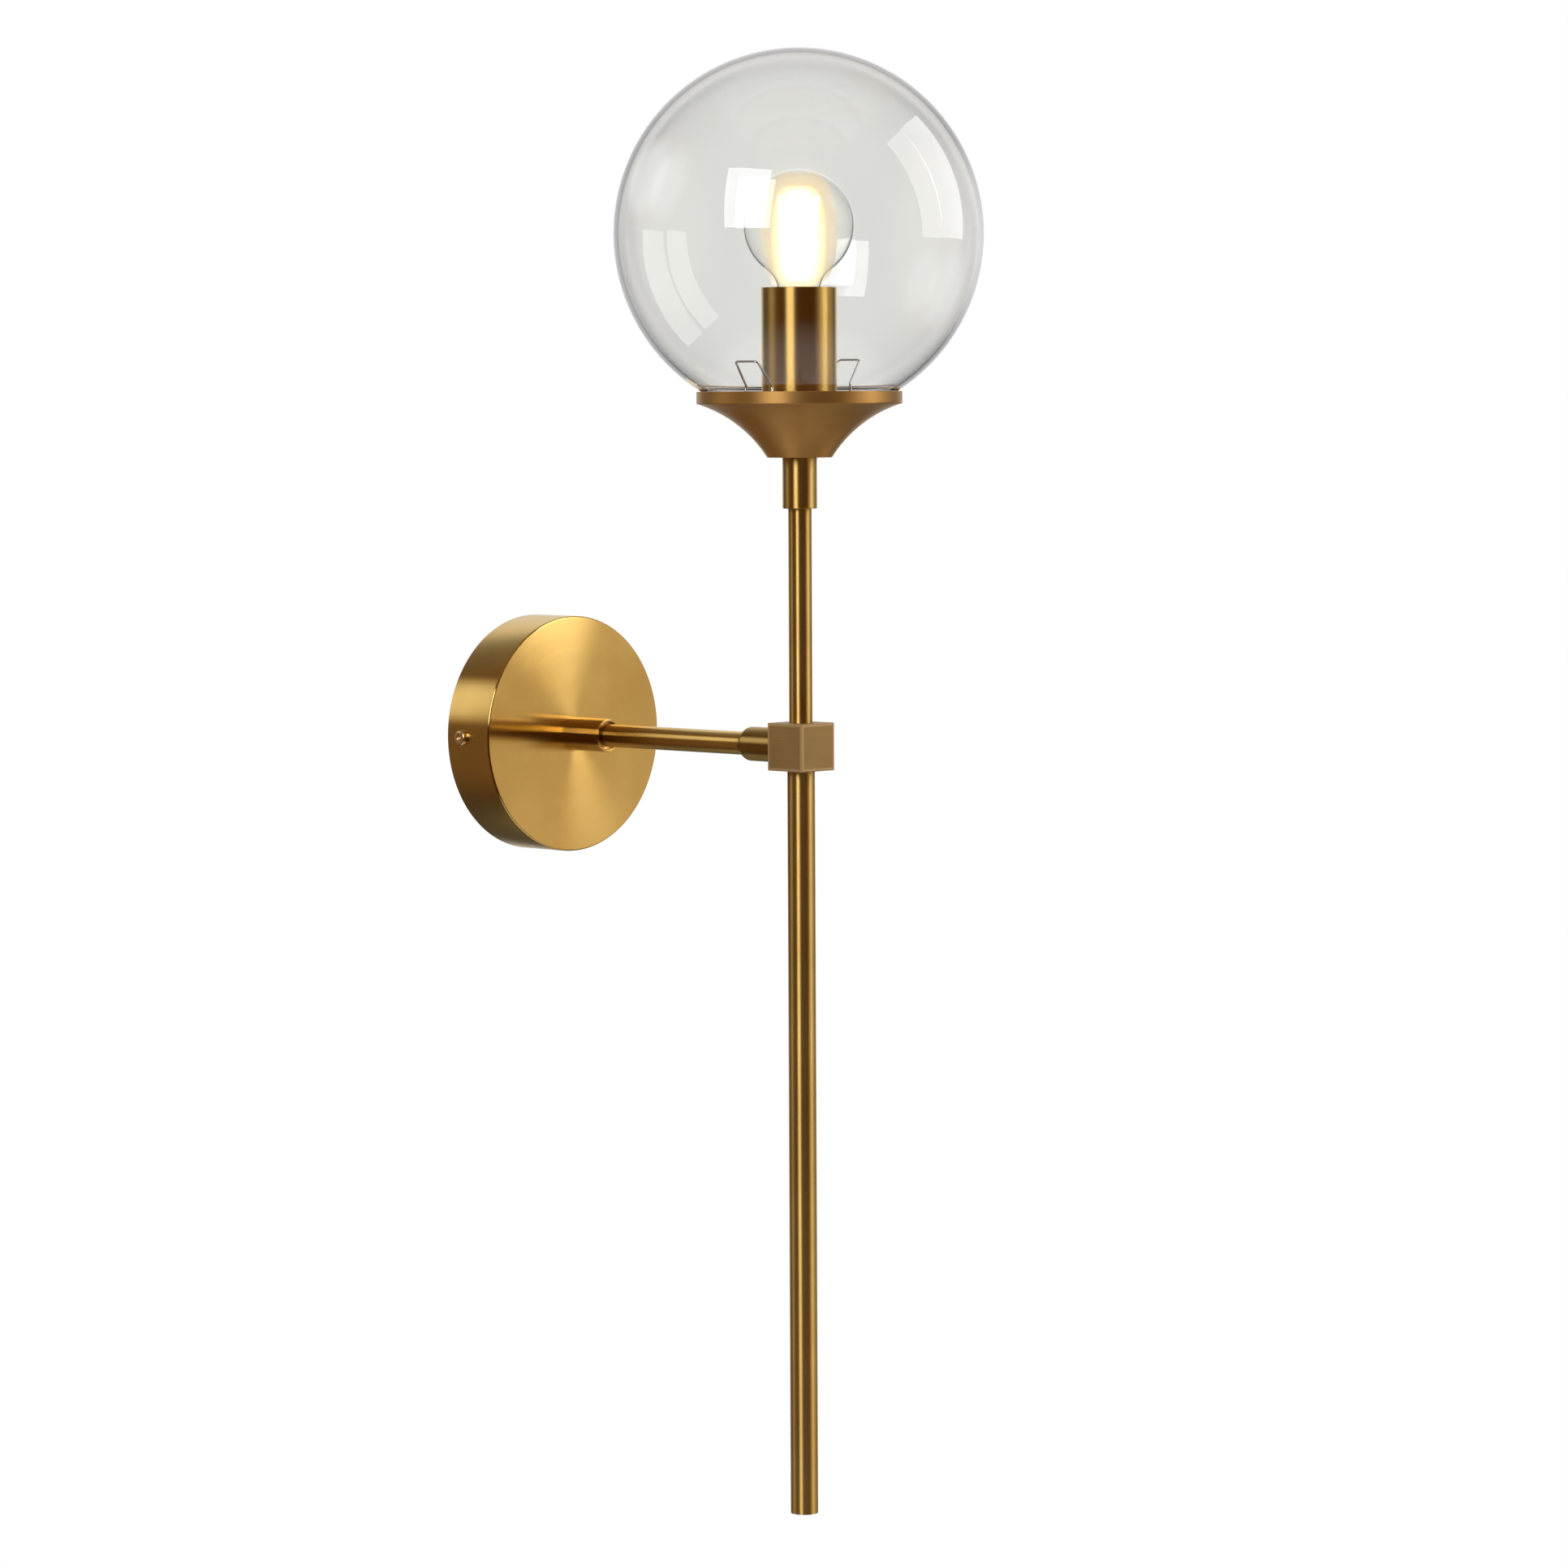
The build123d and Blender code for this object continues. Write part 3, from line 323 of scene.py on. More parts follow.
def clear_glass(name, tint, edge_tint, bending=1.5):
    """Clear wall, palest where it slants away and darker at its very edge.

    Only what the camera looks at bends. All other light goes straight through.
    """
    tree = finish(name)
    facing = tree.facing()
    slanted = tree.blend(tree.step(facing, 0.3, 0.7), tint, SLANTED_TINT)
    tone = tree.blend(tree.step(facing, 0.93, 0.99), slanted, edge_tint)
    glass = tree.node("BsdfPrincipled", sockets={
        "Base Color": tone, "Roughness": 0.0, "IOR": bending, "Transmission Weight": 1.0,
    })
    sockets = {0: tree.looked_at(), 1: tree.clear(), 2: glass}
    return tree.show(tree.node("MixShader", sockets=sockets))


def lit_filament():
    tree = finish("lit_filament")
    beads = tree.noise(tree.place(), 1500.0, 1.0)
    tone = tree.blend(beads, (1.0, 0.70, 0.32), (1.0, 0.80, 0.46))
    return tree.show(tree.node("BsdfPrincipled", sockets={
        "Base Color": tone, "Roughness": 0.6, "Emission Color": tone, "Emission Strength": 14.0,
    }))


def lamp_glow(name, edge, heart, strength, cover, falloff):
    """Soft light round the filaments: full in the middle, gone at its edge, weak in the neck."""
    tree = finish(name)
    height = tree.split(tree.place())[2]
    in_neck = tree.step(height, LAMP_FOOT, LAMP_FOOT + 14.0 * MM, 0.12, 1.0)
    fade = (1.0 - tree.facing()) ** falloff * in_neck
    drift = tree.noise(tree.place(), 90.0, 1.0)
    tone = tree.blend(tree.step(fade + drift * 0.1, 0.15, 0.75), edge, heart)
    return tree.show(tree.node("BsdfPrincipled", sockets={
        "Base Color": (0.0, 0.0, 0.0), "Roughness": 1.0, "Specular IOR Level": 0.0,
        "Emission Color": tone, "Emission Strength": strength, "Alpha": fade * cover,
    }))


# ---- meshes ----
def piece(name, points, faces, body, material, stands_for=(), sharp=35.0, place=None):
    """A mesh of the object itself: it rides on a body and may stand for some of the solids."""
    mesh = bpy.data.meshes.new(name)
    mesh.from_pydata([tuple(p) for p in points], [], faces)
    mesh.validate()
    mesh.shade_smooth()
    mesh.set_sharp_from_angle(angle=radians(sharp))
    mesh.materials.append(material)
    made = bpy.data.objects.new(name, mesh)
    bpy.context.scene.collection.objects.link(made)
    if place:
        made.matrix_world = place
    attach(made, body)
    if stands_for:
        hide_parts(*stands_for)


def lathe(profile, steps, place=None, warp=None):
    """Turns a closed outline of (radius, height) points about Z, bends it and puts it in place."""
    place = place or Matrix.Identity(4)
    turns = zip(profile, profile[1:] + profile[:1])
    if sum(r * next_z - next_r * z for (r, z), (next_r, next_z) in turns) < 0:
        profile = profile[::-1]
    points, rings = [], []
    for radius, height in profile:
        count = 1 if radius == 0 else steps
        ring = []
        for i in range(count):
            angle = tau * i / steps
            x, y, z = radius * cos(angle), radius * sin(angle), height
            if warp:
                x, y, z = warp(x, y, z)
            ring.append(len(points))
            points.append(place @ Vector((x, y, z)))
        rings.append(ring)
    faces = []
    for low, high in zip(rings, rings[1:] + rings[:1]):
        for i in range(steps):
            a, b = low[i % len(low)], low[(i + 1) % len(low)]
            c, d = high[(i + 1) % len(high)], high[i % len(high)]
            corners = list(dict.fromkeys((a, b, c, d)))
            if len(corners) > 2:
                faces.append(corners)
    return points, faces


def arc(centre, radius, start, end, count):
    """Points on an arc, as (radius, height), from one angle to another in degrees above level."""
    turns = [radians(start + (end - start) * i / count) for i in range(count + 1)]
    return [(max(centre[0] + radius * cos(t), 0.0), centre[1] + radius * sin(t)) for t in turns]


EASING_STEPS = 6


def softened(corners):
    """A closed profile with its corners eased. Each is (radius, height, size of the easing)."""
    profile = []
    for i, (radius, height, size) in enumerate(corners):
        here = Vector((radius, height))
        if size == 0:
            profile.append(tuple(here))
            continue
        before = Vector(corners[i - 1][:2]) - here
        after = Vector(corners[(i + 1) % len(corners)][:2]) - here
        start, end = here + before.normalized() * size, here + after.normalized() * size
        for j in range(EASING_STEPS + 1):
            t = j / EASING_STEPS
            profile.append(tuple(start * (1 - t) ** 2 + here * 2 * t * (1 - t) + end * t**2))
    return profile


def heights(low, high, step):
    count = max(2, round((high - low) / step))
    return [low + (high - low) * i / count for i in range(count + 1)]


# ---- glass ----
def blown_ball():
    """Ball with its mouth cut flat and its cut edges just broken."""
    seat = GLASS_SEAT - GLOBE_Z
    broken = 0.25 * MM
    inner_r = GLOBE_R - GLOBE_WALL
    outer_end = degrees(asin((seat + broken) / GLOBE_R))
    inner_end = degrees(asin((seat + broken) / inner_r))
    outside = arc((0, 0), GLOBE_R, 90, outer_end, 120)
    inside = arc((0, 0), inner_r, inner_end, 90, 120)
    outside[0] = (0.0, GLOBE_R)
    inside[-1] = (0.0, inner_r)
    cut_out = (sqrt(GLOBE_R**2 - seat**2) - broken, seat)
    cut_in = (sqrt(inner_r**2 - seat**2) + broken, seat)
    profile = outside + [cut_out, cut_in] + inside
    points, faces = lathe(profile, 256, Matrix.Translation(ROD + Vector((0, 0, GLOBE_Z))))
    glass = clear_glass("clear_ball_glass", (0.905, 0.912, 0.895), (0.70, 0.72, 0.70))
    piece("ball_of_glass", points, faces, "globe", glass, ["globe"])


def lamp_outline(inset):
    """Half outline of the lamp's glass: its foot, the curve of its neck, then the ball."""
    neck_r = LAMP_NECK_R - inset
    ball_r = LAMP_R - inset
    neck_top = LAMP_FOOT + 3.5 * MM
    drop = LAMP_Z - neck_top
    bend = (neck_r**2 + drop**2 - ball_r**2) / (2 * (ball_r - neck_r))
    bend_centre = neck_r + bend
    meet = degrees(atan2(-drop, bend_centre))
    neck = arc((bend_centre, neck_top), bend, 180, 180 + meet, 16)
    ball = arc((0, LAMP_Z), ball_r, meet, 90, 48)[1:]
    ball[-1] = (0.0, LAMP_Z + ball_r)
    return [(neck_r, LAMP_FOOT)] + neck + ball


def lamp_glass():
    outline = lamp_outline(0.0) + lamp_outline(LAMP_WALL)[::-1]
    points, faces = lathe(outline, 160, Matrix.Translation(ROD))
    tint, edge_tint = (0.99, 0.985, 0.97), (1.0, 0.99, 0.96)
    glass = clear_glass("clear_lamp_glass", tint, edge_tint, bending=1.16)
    piece("lamp_glass_ball", points, faces, "bulb", glass, ["bulb_glass"])


def soft_shell(name, radius, half, centre_z, glow):
    """An upright shell of light on the lamp's axis, with full sides and round ends."""
    rows, fullness = 48, 0.45
    profile = []
    for i in range(rows + 1):
        turn = pi * (i / rows - 0.5)
        profile.append((radius * max(cos(turn), 0.0) ** fullness, half * sin(turn)))
    profile[0], profile[-1] = (0.0, -half), (0.0, half)
    points, faces = lathe(profile, 64, Matrix.Translation(ROD + Vector((0, 0, centre_z))))
    piece(name, points, faces, "bulb", glow)


def glow_round_filaments():
    """The bright heart of the lit lamp and the amber haze round it."""
    low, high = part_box("bulb_filaments")
    heart = lamp_glow(
        "lamp_glow_heart", edge=(1.0, 0.76, 0.34), heart=(1.0, 0.93, 0.74),
        strength=2.6, cover=0.95, falloff=2.0,
    )
    haze = lamp_glow(
        "lamp_glow_haze", edge=(0.90, 0.66, 0.34), heart=(0.95, 0.73, 0.40),
        strength=1.3, cover=0.45, falloff=0.9,
    )
    heart_r, heart_half = 11.6 * MM, (high.z - low.z) / 2 + 7.5 * MM
    haze_r, haze_half = 15.8 * MM, 23.0 * MM
    soft_shell("lamp_glow_heart", heart_r, heart_half, (high.z + low.z) / 2 - 3.0 * MM, heart)
    soft_shell("lamp_glow_haze", haze_r, haze_half, LAMP_Z - 2.0 * MM, haze)


# ---- threads ----
E14_PITCH = 2.822 * MM
E14_DEPTH = 0.8 * MM
E14_CREST = 6.95 * MM
E14_FADE = 0.8 * MM
E14_ROWS = 0.16 * MM


def thread_depth(angle, along, pitch):
    """0 on the crest and 1 in the root of a rounded right-hand thread."""
    return 0.5 - 0.5 * cos(tau * (along / pitch - angle / tau))


def between(low, high, z, fade):
    """0 at two heights and beyond them, 1 once z is further than fade inside both."""
    return max(0.0, min(1.0, min(z - low, high - z) / fade))


def e14_warp(low, high):
    """Sinks a round wall into the lamp's thread between two heights, fading in and out."""
    def warp(x, y, z):
        radius = hypot(x, y)
        depth = E14_DEPTH * between(low, high, z, E14_FADE)
        scale = (radius - depth * thread_depth(atan2(y, x), z, E14_PITCH)) / radius
        return x * scale, y * scale, z

    return warp


def metric_thread(crest_r, depth, pitch, low, high):
    """Cuts a thread into what lies at the crest's radius, and leaves the rest."""
    def warp(x, y, z):
        radius = hypot(x, y)
        if radius < crest_r - 0.01 * MM or not low <= z <= high:
            return x, y, z
        sink = depth * between(low, high, z, pitch) * thread_depth(atan2(y, x), z, pitch)
        scale = (radius - sink) / radius
        return x * scale, y * scale, z

    return warp


def threaded_cap():
    """Plated cap with its rolled thread, a flared skirt and a turned-in lower edge."""
    low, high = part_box("bulb_cap")
    wall, edge = 0.35 * MM, 0.8 * MM
    thread_low, skirt_low = low.z + edge, high.z - 4.6 * MM
    skirt_r = half_width("bulb_cap")
    outside = [(E14_CREST - edge, low.z), (E14_CREST - edge * 0.3, low.z + edge * 0.35)]
    outside += [(E14_CREST, z) for z in heights(thread_low, skirt_low, E14_ROWS)]
    outside += [(skirt_r - 0.5 * MM, skirt_low + 1.9 * MM), (skirt_r, skirt_low + 2.6 * MM)]
    outside += [(skirt_r, high.z)]
    inside = [(radius - wall, height) for radius, height in reversed(outside)]
    inside[-1] = (E14_CREST - edge - wall, low.z + wall)
    warp = e14_warp(thread_low, skirt_low)
    points, faces = lathe(outside + inside, 96, Matrix.Translation(ROD), warp)
    piece("lamp_cap_threaded", points, faces, "bulb", NICKEL, ["bulb_cap"], sharp=50)


def threaded_shell():
    """Rolled brass shell that the lamp screws into."""
    low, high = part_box("screw_shell")
    bore, outer = 7.0 * MM, half_width("screw_shell")
    floor_hole, floor_top = 5.5 * MM, low.z + 0.4 * MM
    rows = heights(floor_top, high.z, E14_ROWS)
    inside = [(bore, z) for z in rows]
    outside = [(outer, z) for z in reversed(rows)]
    floor = [(outer, low.z), (floor_hole, low.z), (floor_hole, floor_top)]
    warp = e14_warp(low.z + 0.6 * MM, high.z)
    points, faces = lathe(inside + outside + floor, 96, Matrix.Translation(ROD), warp)
    piece(
        "lampholder_shell_threaded", points, faces, "root", BARE_BRASS,
        ["screw_shell"], sharp=50,
    )


def threaded_nipple():
    """Hollow nipple that ties the canopy to the arm: its thread shows behind the nut."""
    low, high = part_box("canopy_nipple")
    radius, pitch = half_width("canopy_nipple"), 1.0 * MM
    start, end = -high.y, -low.y
    profile = [(radius, z) for z in heights(start, end, pitch / 8)]
    profile += [(BORE_R, end), (BORE_R, start)]
    warp = metric_thread(radius, pitch / 2, pitch, start, end)
    points, faces = lathe(profile, 64, OUT_OF_WALL, warp)
    piece("nipple_threaded", points, faces, "root", ZINC, ["canopy_nipple"], sharp=60)


def chamfered_nut():
    low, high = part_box("canopy_nut")
    apothem = (high.z - low.z) / 2
    bore, chamfer = 5.05 * MM, 0.9 * MM
    start, end = -high.y, -low.y
    chamfer_slope = tan(radians(30))

    def warp(x, y, z):
        """Pushes the rim out to a hexagon, its corners cut by the chamfer."""
        radius = hypot(x, y)
        if radius <= apothem:
            return x, y, z
        off_flat = (atan2(y, x) + pi / 6) % (pi / 3) - pi / 6
        hexagon = apothem / cos(off_flat)
        drop = (hexagon - apothem) * chamfer_slope
        z = start + drop if z < (start + end) / 2 else end - drop
        return x * hexagon / radius, y * hexagon / radius, z

    rim = apothem + 0.02 * MM
    profile = [
        (bore, start), (apothem, start), (rim, start + chamfer),
        (rim, end - chamfer), (apothem, end), (bore, end),
    ]
    points, faces = lathe(profile, 72, OUT_OF_WALL @ Matrix.Rotation(pi / 6, 4, "Z"), warp)
    piece("nut_chamfered", points, faces, "root", ZINC, ["canopy_nut"], sharp=20)


# ---- screws ----
def cross_recess(half_arm, half_slot, depth):
    def hollow(x, y):
        reach = hypot(x, y) / half_arm
        if reach > 1 or min(abs(x), abs(y)) > half_slot:
            return 0.0
        return depth * (1.0 - 0.75 * reach)

    return hollow


def slot_recess(half_arm, half_slot, depth):
    def hollow(x, y):
        return depth if abs(y) < half_slot and abs(x) < half_arm else 0.0

    return hollow


def screw_body(head_r, head_h, shank_r, length, recess, round_edge):
    """A pan head screw with a recess, its head up +Z from Z = 0 and its thread below."""
    pitch = shank_r * 0.35
    rings = 26
    crown = []
    for i in range(rings):
        radius = head_r * (i / rings)
        fall = max(0.0, radius - (head_r - round_edge)) / round_edge
        crown.append((radius, head_h - round_edge * (1 - sqrt(max(0.0, 1 - fall**2)))))
    side = [(head_r, head_h - round_edge), (head_r, 0.0), (shank_r, 0.0)]
    shank = [(shank_r, -z) for z in heights(0.15 * MM, length, pitch / 6)]
    profile = crown + side + shank + [(0.0, -length)]
    thread = metric_thread(shank_r, pitch * 0.55, pitch, -length, 0.0)

    def warp(x, y, z):
        if z > 0 and hypot(x, y) < head_r * 0.9:
            return x, y, z - recess(x, y)
        return thread(x, y, z)

    return profile, warp


def side_screws():
    """The two screws that hold the canopy on its plate, with cross recesses."""
    low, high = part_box("canopy_screws")
    reach = half_width("canopy")
    recess = cross_recess(1.75 * MM, 0.42 * MM, 1.3 * MM)
    profile, warp = screw_body(3.2 * MM, high.x - reach, 2.0 * MM, 8.0 * MM, recess, 0.9 * MM)
    for side, name in ((1, "side_screw_right"), (-1, "side_screw_left")):
        turn = Matrix.Rotation(side * pi / 2, 4, "Y") @ Matrix.Rotation(radians(20), 4, "Z")
        place = Matrix.Translation((side * reach, (low.y + high.y) / 2, 0)) @ turn
        points, faces = lathe(profile, 96, place, warp)
        piece(name, points, faces, "root", PALE_BRASS, ["canopy_screws"])


def plate_screw(node, name, head_r, head_h, shank_r, recess, metal, slot):
    """A screw that holds something on the mounting plate, its head away from the wall."""
    low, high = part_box(node)
    centre = middle(node)
    length = high.y - low.y - head_h
    profile, warp = screw_body(head_r, head_h, shank_r, length, recess, 0.7 * MM)
    place = Matrix.Translation((centre.x, low.y + head_h, centre.z)) @ OUT_OF_WALL
    points, faces = lathe(profile, 72, place, warp)
    piece(name, points, faces, "root", metal, [node])


def screws_on_plate():
    """Earth screw, the terminal block's own screw and its four clamping screws."""
    recess = cross_recess(2.0 * MM, 0.45 * MM, 1.4 * MM)
    sizes = (3.5 * MM, 2.4 * MM, 2.0 * MM)
    plate_screw("earth_screw", "earth_screw_cut", *sizes, recess, BARE_BRASS, "bare_brass")

    recess = cross_recess(1.5 * MM, 0.35 * MM, 1.0 * MM)
    sizes = (2.6 * MM, 1.6 * MM, 1.5 * MM)
    plate_screw("terminal_fixing_screw", "fixing_screw_cut", *sizes, recess, ZINC, "zinc_steel")

    low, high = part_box("terminal_screws")
    radius, head_h = 1.3 * MM, 0.4 * MM
    length = high.y - low.y - head_h
    recess = slot_recess(radius, 0.22 * MM, 0.7 * MM)
    profile, warp = screw_body(radius, head_h, radius * 0.98, length, recess, 0.15 * MM)
    for i, x in enumerate((low.x + radius, high.x - radius)):
        for j, z in enumerate((low.z + radius, high.z - radius)):
            place = Matrix.Translation((x, low.y + head_h, z)) @ OUT_OF_WALL
            points, faces = lathe(profile, 64, place, warp)
            name = f"clamp_screw_{i}{j}"
            piece(name, points, faces, "root", ZINC, ["terminal_screws"])


# ---- canopy and arm ----
def ends(node):
    """A piece's two ends, in millimetres from the wall."""
    low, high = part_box(node)
    return -high.y / MM, -low.y / MM


def turned(name, corners, steps, material, node):
    """A piece turned about the arm's axis. Its heights are distances from the wall."""
    points, faces = lathe(softened([(r * MM, z * MM, e * MM) for r, z, e in corners]), steps)
    piece(name, points, faces, "root", material, [node], place=OUT_OF_WALL)


def canopy_and_arm():
    """Canopy, collars and arm tube, turned about their axis so that the brushing runs round it.

    Each corner is its radius, its distance from the wall and its easing, in millimetres.
    """
    reach, depth = half_width("canopy") / MM, -CANOPY_FACE_Y / MM
    wall, nipple_r, bore_r = 1.2, 5.05, BORE_R / MM
    turned("canopy_turned", [
        (nipple_r, depth, 0.15), (reach, depth, 0.9), (reach, 0, 0.2), (reach - wall, 0, 0.2),
        (reach - wall, depth - wall, 1.0), (nipple_r, depth - wall, 0.15),
    ], 192, CANOPY_BRASS, "canopy")

    tube_r = half_width("arm_tube") / MM
    start, end = ends("arm_tube")
    turned("arm_tube_turned", [
        (bore_r, start, 0.1), (tube_r, start, 0.2), (tube_r, end, 0.2), (bore_r, end, 0.1),
    ], 64, ARM_BRASS, "arm_tube")

    collar_r, slide_r = half_width("arm_base_collar") / MM, tube_r + 0.05
    mouth_r, mouth = 6.0, 2.5
    foot, lip = ends("arm_base_collar")
    turned("arm_base_collar_turned", [
        (nipple_r, foot, 0.1), (collar_r, foot, 0.3), (collar_r, lip, 0.25),
        (mouth_r, lip, 0.15), (mouth_r, lip - mouth, 0.3), (slide_r, lip - mouth, 0.1),
        (slide_r, start, 0), (nipple_r, start, 0),
    ], 96, ARM_BRASS, "arm_base_collar")

    taper = 2.8
    tip, butt = ends("arm_end_collar")
    turned("arm_end_collar_turned", [
        (slide_r, tip, 0.1), (tube_r + 0.5, tip, 0.1), (collar_r, tip + taper, 1.0),
        (collar_r, butt, 0.2), (nipple_r, butt, 0.1), (nipple_r, end, 0), (slide_r, end, 0),
    ], 96, COLLAR_BRASS, "arm_end_collar")


# ---- finishes on the solids ----
ZINC = plated_steel("zinc_plate", (0.70, 0.71, 0.72))
SPRING_WIRE = plated_steel("spring_wire", (0.82, 0.86, 0.90), rough=0.18)
NICKEL = plated_steel("nickel_plate", (0.74, 0.72, 0.68), rough=0.2)
BARE_BRASS = plated_steel("bare_brass", (0.86, 0.66, 0.30), rough=0.25)
PALE_BRASS = plated_steel("screw_brass", (0.90, 0.66, 0.36), rough=0.2)
CANOPY_BRASS = turned_brass("satin_brass_canopy", BRASS_PALE, BRASS_DEEP, rough=0.19)
ARM_BRASS = turned_brass("satin_brass_arm", BRASS_PALE, BRASS_DEEP, rough=0.21)
COLLAR_BRASS = turned_brass(
    "satin_brass_collar", shade(BRASS_PALE, 0.74), shade(BRASS_DEEP, 0.6), rough=0.28,
)
ROD_BRASS = turned_brass("satin_brass_rod", BRASS_PALE, BRASS_DEEP, rough=0.42, centre=ROD)
COVER_BRASS = turned_brass("satin_brass_cover", BRASS_PALE, BRASS_DEEP, rough=0.40, centre=ROD)
CUP_BRASS = turned_brass(
    "spun_brass_cup", BRASS_CUP, shade(BRASS_CUP, 0.84), rough=0.50, centre=ROD,
    metal=0.9, smear=0.72,
)
BLACK_RESIN = moulded("black_resin", (0.035, 0.035, 0.037))
GLASS_BEAD = moulded(
    "black_glass_bead", (0.012, 0.012, 0.014), rough=0.12, grain=1200.0, depth=0.01 * MM,
)
NYLON = moulded("cream_nylon", (0.74, 0.73, 0.66), rough=0.5)
RUBBER = moulded("black_rubber", (0.018, 0.017, 0.016), rough=0.62, grain=1500.0)

SURFACES = {
    "canopy": CANOPY_BRASS,
    "arm_base_collar": ARM_BRASS, "arm_tube": ARM_BRASS, "arm_end_collar": COLLAR_BRASS,
    "cross_block": block_brass(),
    "upper_tube": ROD_BRASS, "stem_sleeve": ROD_BRASS,
    "lower_rod": ROD_BRASS, "rod_end_plug": ROD_BRASS,
    "flared_cup": CUP_BRASS, "gallery_plate": CUP_BRASS,
    "socket_cover": COVER_BRASS,
    "mounting_plate": ZINC, "canopy_washer": ZINC, "block_nipple": ZINC, "rod_insert": ZINC,
    "rod_stud": ZINC, "stem_nipple": ZINC, "cup_nut": ZINC,
    "earth_plate_tag": ZINC, "earth_body_tag": ZINC,
    "clip_left": SPRING_WIRE, "clip_right": SPRING_WIRE, "filament_leads": SPRING_WIRE,
    "terminal_poles": BARE_BRASS, "centre_contact": BARE_BRASS,
    "bulb_tip": NICKEL,
    "bulb_insulator": GLASS_BEAD,
    "holder_base": BLACK_RESIN, "holder_body": BLACK_RESIN,
    "terminal_block": NYLON,
    "glass_gasket": RUBBER,
    "live_wire": moulded("brown_wire_cover", (0.16, 0.06, 0.025), rough=0.38),
    "neutral_wire": moulded("blue_wire_cover", (0.02, 0.08, 0.36), rough=0.38),
    "earth_wire": striped_cover(),
    "bulb_stem": clear_glass("stem_glass", (0.97, 0.97, 0.95), (0.85, 0.83, 0.78)),
    "bulb_filaments": lit_filament(),
}


def dress(node, material):
    """Puts a material in every slot of one of the solids."""
    mesh = NODES[node].data
    if not mesh.materials:
        mesh.materials.append(material)
    for i in range(len(mesh.materials)):
        mesh.materials[i] = material


for node, material in SURFACES.items():
    dress(node, material)

canopy_and_arm()
blown_ball()
lamp_glass()
glow_round_filaments()
threaded_cap()
threaded_shell()
threaded_nipple()
chamfered_nut()
side_screws()
screws_on_plate()

# ---- camera, as the photograph was taken ----
PHOTO_SIDE = 1932
FOCAL_PIXELS = 6500.0
SENSOR_MM = 36.0
CAMERA_PLACE = Vector((-1.5543, -1.6383, 0.140))
CAMERA_YAW, CAMERA_PITCH, CAMERA_ROLL = radians(46.21), radians(4.138), radians(-0.278)

view_line = Vector((
    sin(CAMERA_YAW) * cos(CAMERA_PITCH), cos(CAMERA_YAW) * cos(CAMERA_PITCH), -sin(CAMERA_PITCH),
))
level_right = Vector((cos(CAMERA_YAW), -sin(CAMERA_YAW), 0))
level_up = level_right.cross(view_line)
view_right = level_right * cos(CAMERA_ROLL) + level_up * sin(CAMERA_ROLL)
view_up = level_up * cos(CAMERA_ROLL) - level_right * sin(CAMERA_ROLL)


def make_camera():
    data = bpy.data.cameras.new("camera")
    data.sensor_width = SENSOR_MM
    data.lens = FOCAL_PIXELS / PHOTO_SIDE * SENSOR_MM
    data.clip_start, data.clip_end = 0.1, 30.0
    camera = bpy.data.objects.new("camera", data)
    bpy.context.scene.collection.objects.link(camera)
    turn = Matrix((view_right, view_up, -view_line)).transposed().to_4x4()
    camera.matrix_world = Matrix.Translation(CAMERA_PLACE) @ turn
    bpy.context.scene.camera = camera


# ---- light ----
LIT_MIDDLE = ROD + Vector((0, 0, 0.10))

# Each: name, azimuth, elevation, width and height in degrees, distance, radiance.
SOFTBOXES = (
    ("softbox_front", -28, 20, 22, 29, 1.7, 6.8),
    ("softbox_side", 89, 25, 18, 46, 1.5, 2.4),
)

# Bright parts of the room. Each: azimuth, elevation, how far from its middle it starts and how
# far it is full, all in degrees, then its level.
BRIGHT_PARTS = (
    (180, 14, 44, 30, 0.85),
    (92, -2, 46, 20, 0.64),
    (-97, 21, 18, 6, 1.1),
    (-95, -5, 50, 12, 0.15),
    (0, 90, 75, 30, 0.20),
)
ROOM_LEVEL = 0.05
MATT_LEVEL = 0.62

EMBER_DARK = (1.0, 0.38, 0.10)
EMBER_PALE = (1.0, 0.68, 0.36)
WHITE = (1.0, 1.0, 1.0)


def towards(azimuth, elevation):
    """A direction from the lamp: azimuth from the photographer to their right, in degrees."""
    a, e = radians(azimuth), radians(elevation)
    near = Vector((-sin(CAMERA_YAW), -cos(CAMERA_YAW), 0))
    return (near * cos(a) + level_right * sin(a)) * cos(e) + Vector((0, 0, sin(e)))


def softbox(name, azimuth, elevation, wide, tall, distance, radiance):
    """A rectangular lamp that spans wide x tall degrees and glows at a given level."""
    data = bpy.data.lights.new(name, "AREA")
    data.shape = "RECTANGLE"
    data.size = 2 * distance * tan(radians(wide / 2))
    data.size_y = 2 * distance * tan(radians(tall / 2))
    data.energy = radiance * pi * data.size * data.size_y
    lamp = bpy.data.objects.new(name, data)
    bpy.context.scene.collection.objects.link(lamp)
    out = towards(azimuth, elevation)
    lamp.location = LIT_MIDDLE + out * distance
    lamp.rotation_mode = "QUATERNION"
    lamp.rotation_quaternion = out.to_track_quat("Z", "Y")
    lamp.visible_camera = False


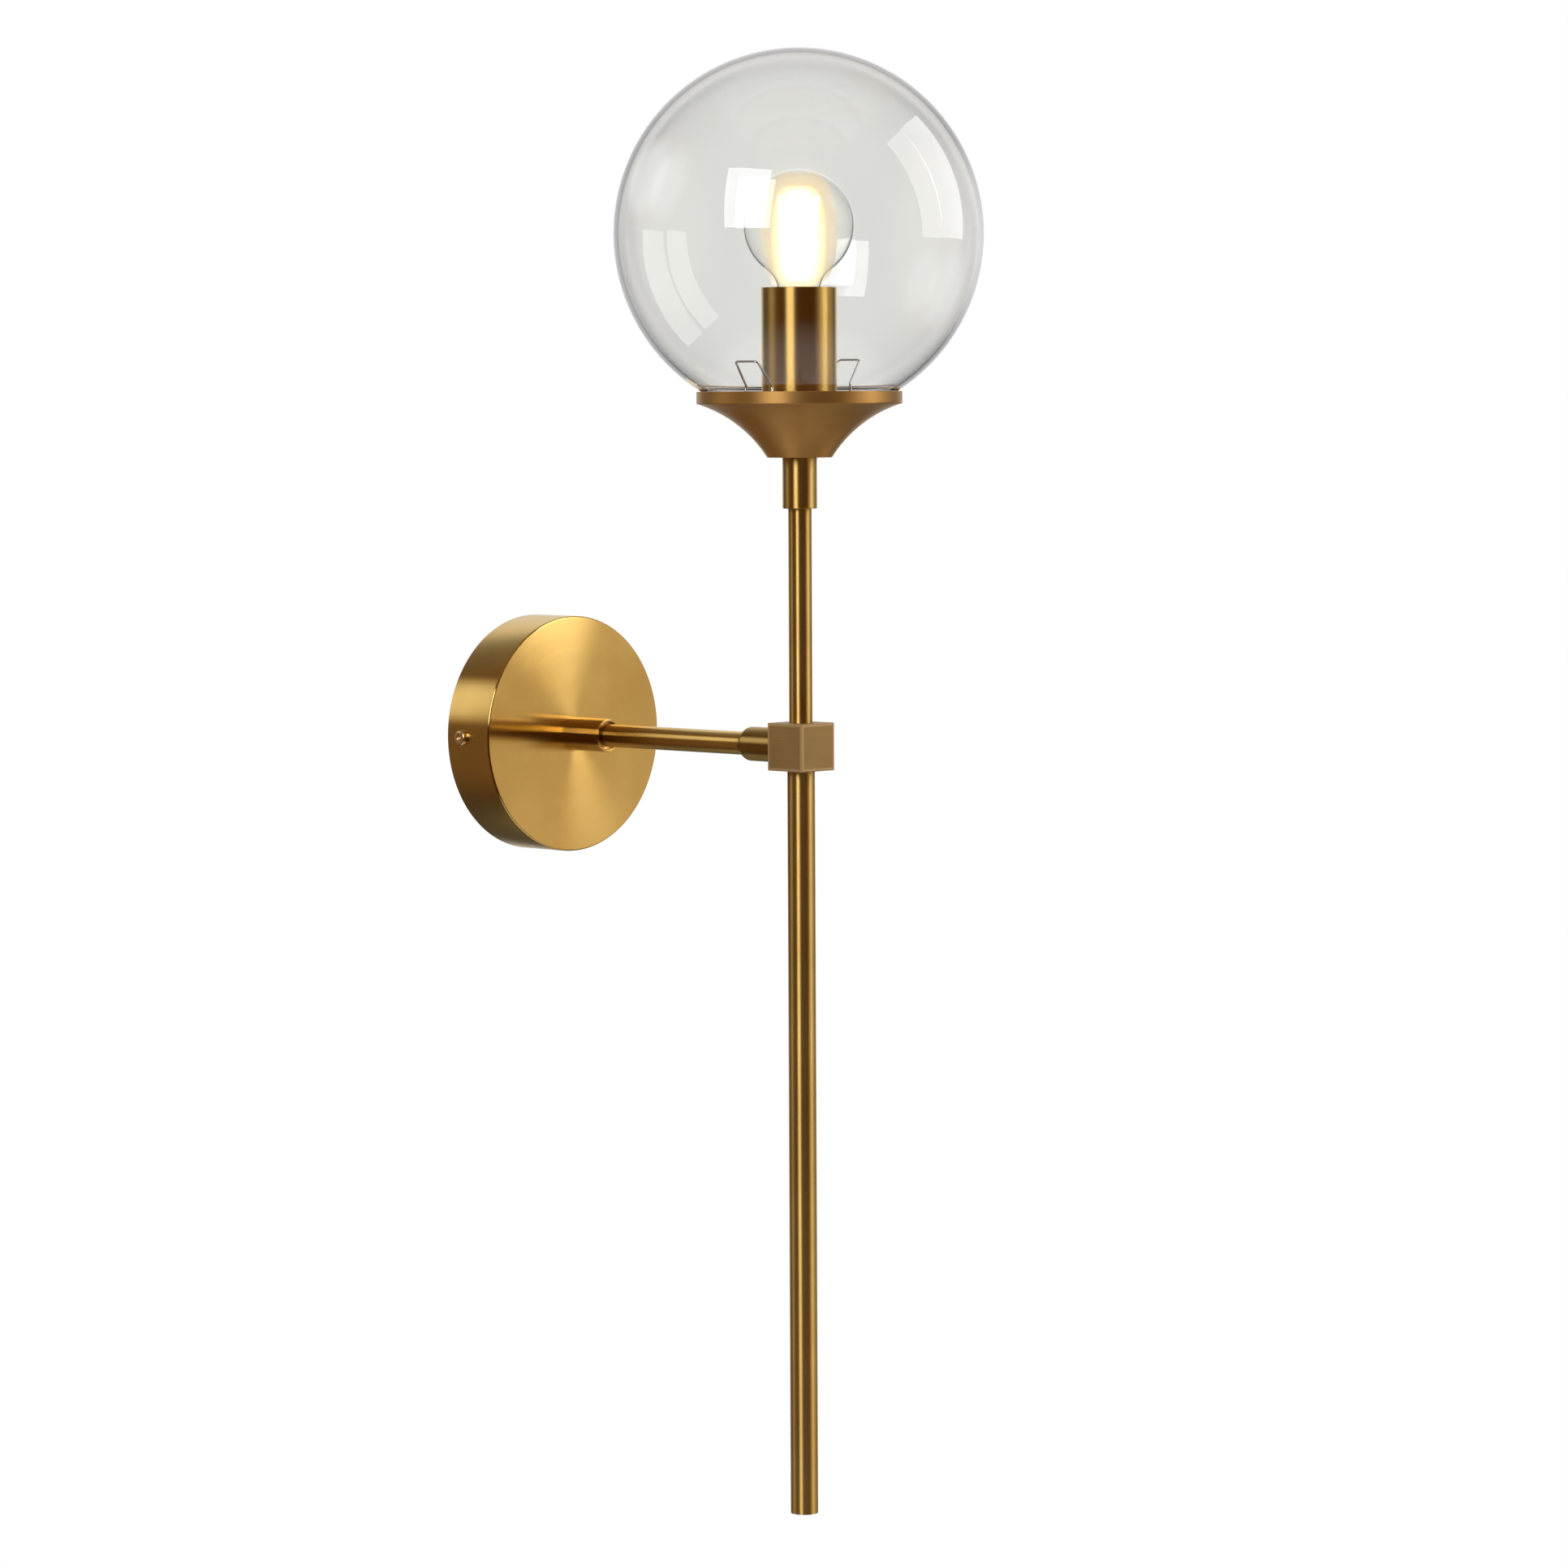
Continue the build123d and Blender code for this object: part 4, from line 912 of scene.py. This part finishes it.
def studio():
    """White wherever the camera looks, even light on what is matt, and for what shines a dim
    room, warm on the photographer's side, with brighter parts.
    """
    tree = Tree(bpy.data.worlds.new("studio"))
    bpy.context.scene.world = tree.owner
    direction = tree.node("TexCoord", output="Generated")
    room = ROOM_LEVEL
    for azimuth, elevation, start, full, level in BRIGHT_PARTS:
        along = tree.dot(direction, tuple(towards(azimuth, elevation)))
        room = room + tree.step(along, cos(radians(start)), cos(radians(full)), 0.0, level)
    matt = tree.node("LightPath", output="Is Diffuse Ray")
    inside = matt * MATT_LEVEL + (1.0 - matt) * room
    white = tree.looked_at()
    level = white + (1.0 - white) * inside
    ahead = tree.step(tree.dot(direction, tuple(towards(0, 0))), -0.6, -0.1)
    dusk = (1.0 - white) * (1.0 - tree.step(level, 0.0, 1.2)) * ahead
    ember = tree.blend(tree.step(level, 0.0, 0.3), EMBER_DARK, EMBER_PALE)
    tone = tree.blend(dusk, WHITE, ember)
    tree.show(tree.node("Background", sockets={"Color": tone, "Strength": level}))


FLOOR_DROP = 0.6
FLOOR_R = 0.9
FLOOR_SIDES = 96
FLOOR_GLOW = 0.42


def floor_paint():
    """Pale paint that glows a little where the camera sees it. From below it isn't there, and
    for all light but the camera's it fades out towards the rim.
    """
    tree = finish("pale_floor")
    seen = tree.looked_at()
    below = tree.node("NewGeometry", output="Backfacing")
    x, y = tree.split(tree.vector("SUBTRACT", tree.place(), tuple(ROD)))[:2]
    from_middle = tree.math("SQRT", x * x + y * y)
    fading = (1.0 - seen) * tree.step(from_middle, FLOOR_R * 0.6, FLOOR_R * 0.98)
    specks = tree.noise(tree.place(), 40.0, 3.0)
    paint = tree.node("BsdfPrincipled", sockets={
        "Base Color": tree.blend(specks, (0.67, 0.70, 0.74), (0.69, 0.72, 0.76)), "Roughness": 0.9,
    })
    glow = tree.node("Emission", sockets={"Color": WHITE, "Strength": FLOOR_GLOW})
    glowing = tree.node("AddShader", sockets={0: paint, 1: glow})
    lit = tree.node("MixShader", sockets={0: seen, 1: paint, 2: glowing})
    gone = tree.math("MAXIMUM", below, fading)
    return tree.show(tree.node("MixShader", sockets={0: gone, 1: lit, 2: tree.clear()}))


def pale_floor():
    """Round floor well below the light."""
    turns = [tau * i / FLOOR_SIDES for i in range(FLOOR_SIDES)]
    ring = [(FLOOR_R * cos(turn), ROD_Y + FLOOR_R * sin(turn), 0) for turn in turns]
    mesh = bpy.data.meshes.new("floor")
    mesh.from_pydata(ring, [], [list(range(FLOOR_SIDES))])
    mesh.materials.append(floor_paint())
    floor = bpy.data.objects.new("floor", mesh)
    floor.location.z = cad_low.z - FLOOR_DROP
    bpy.context.scene.collection.objects.link(floor)


make_camera()
for box in SOFTBOXES:
    softbox(*box)
studio()
pale_floor()

bpy.context.scene.view_settings.view_transform = "Standard"
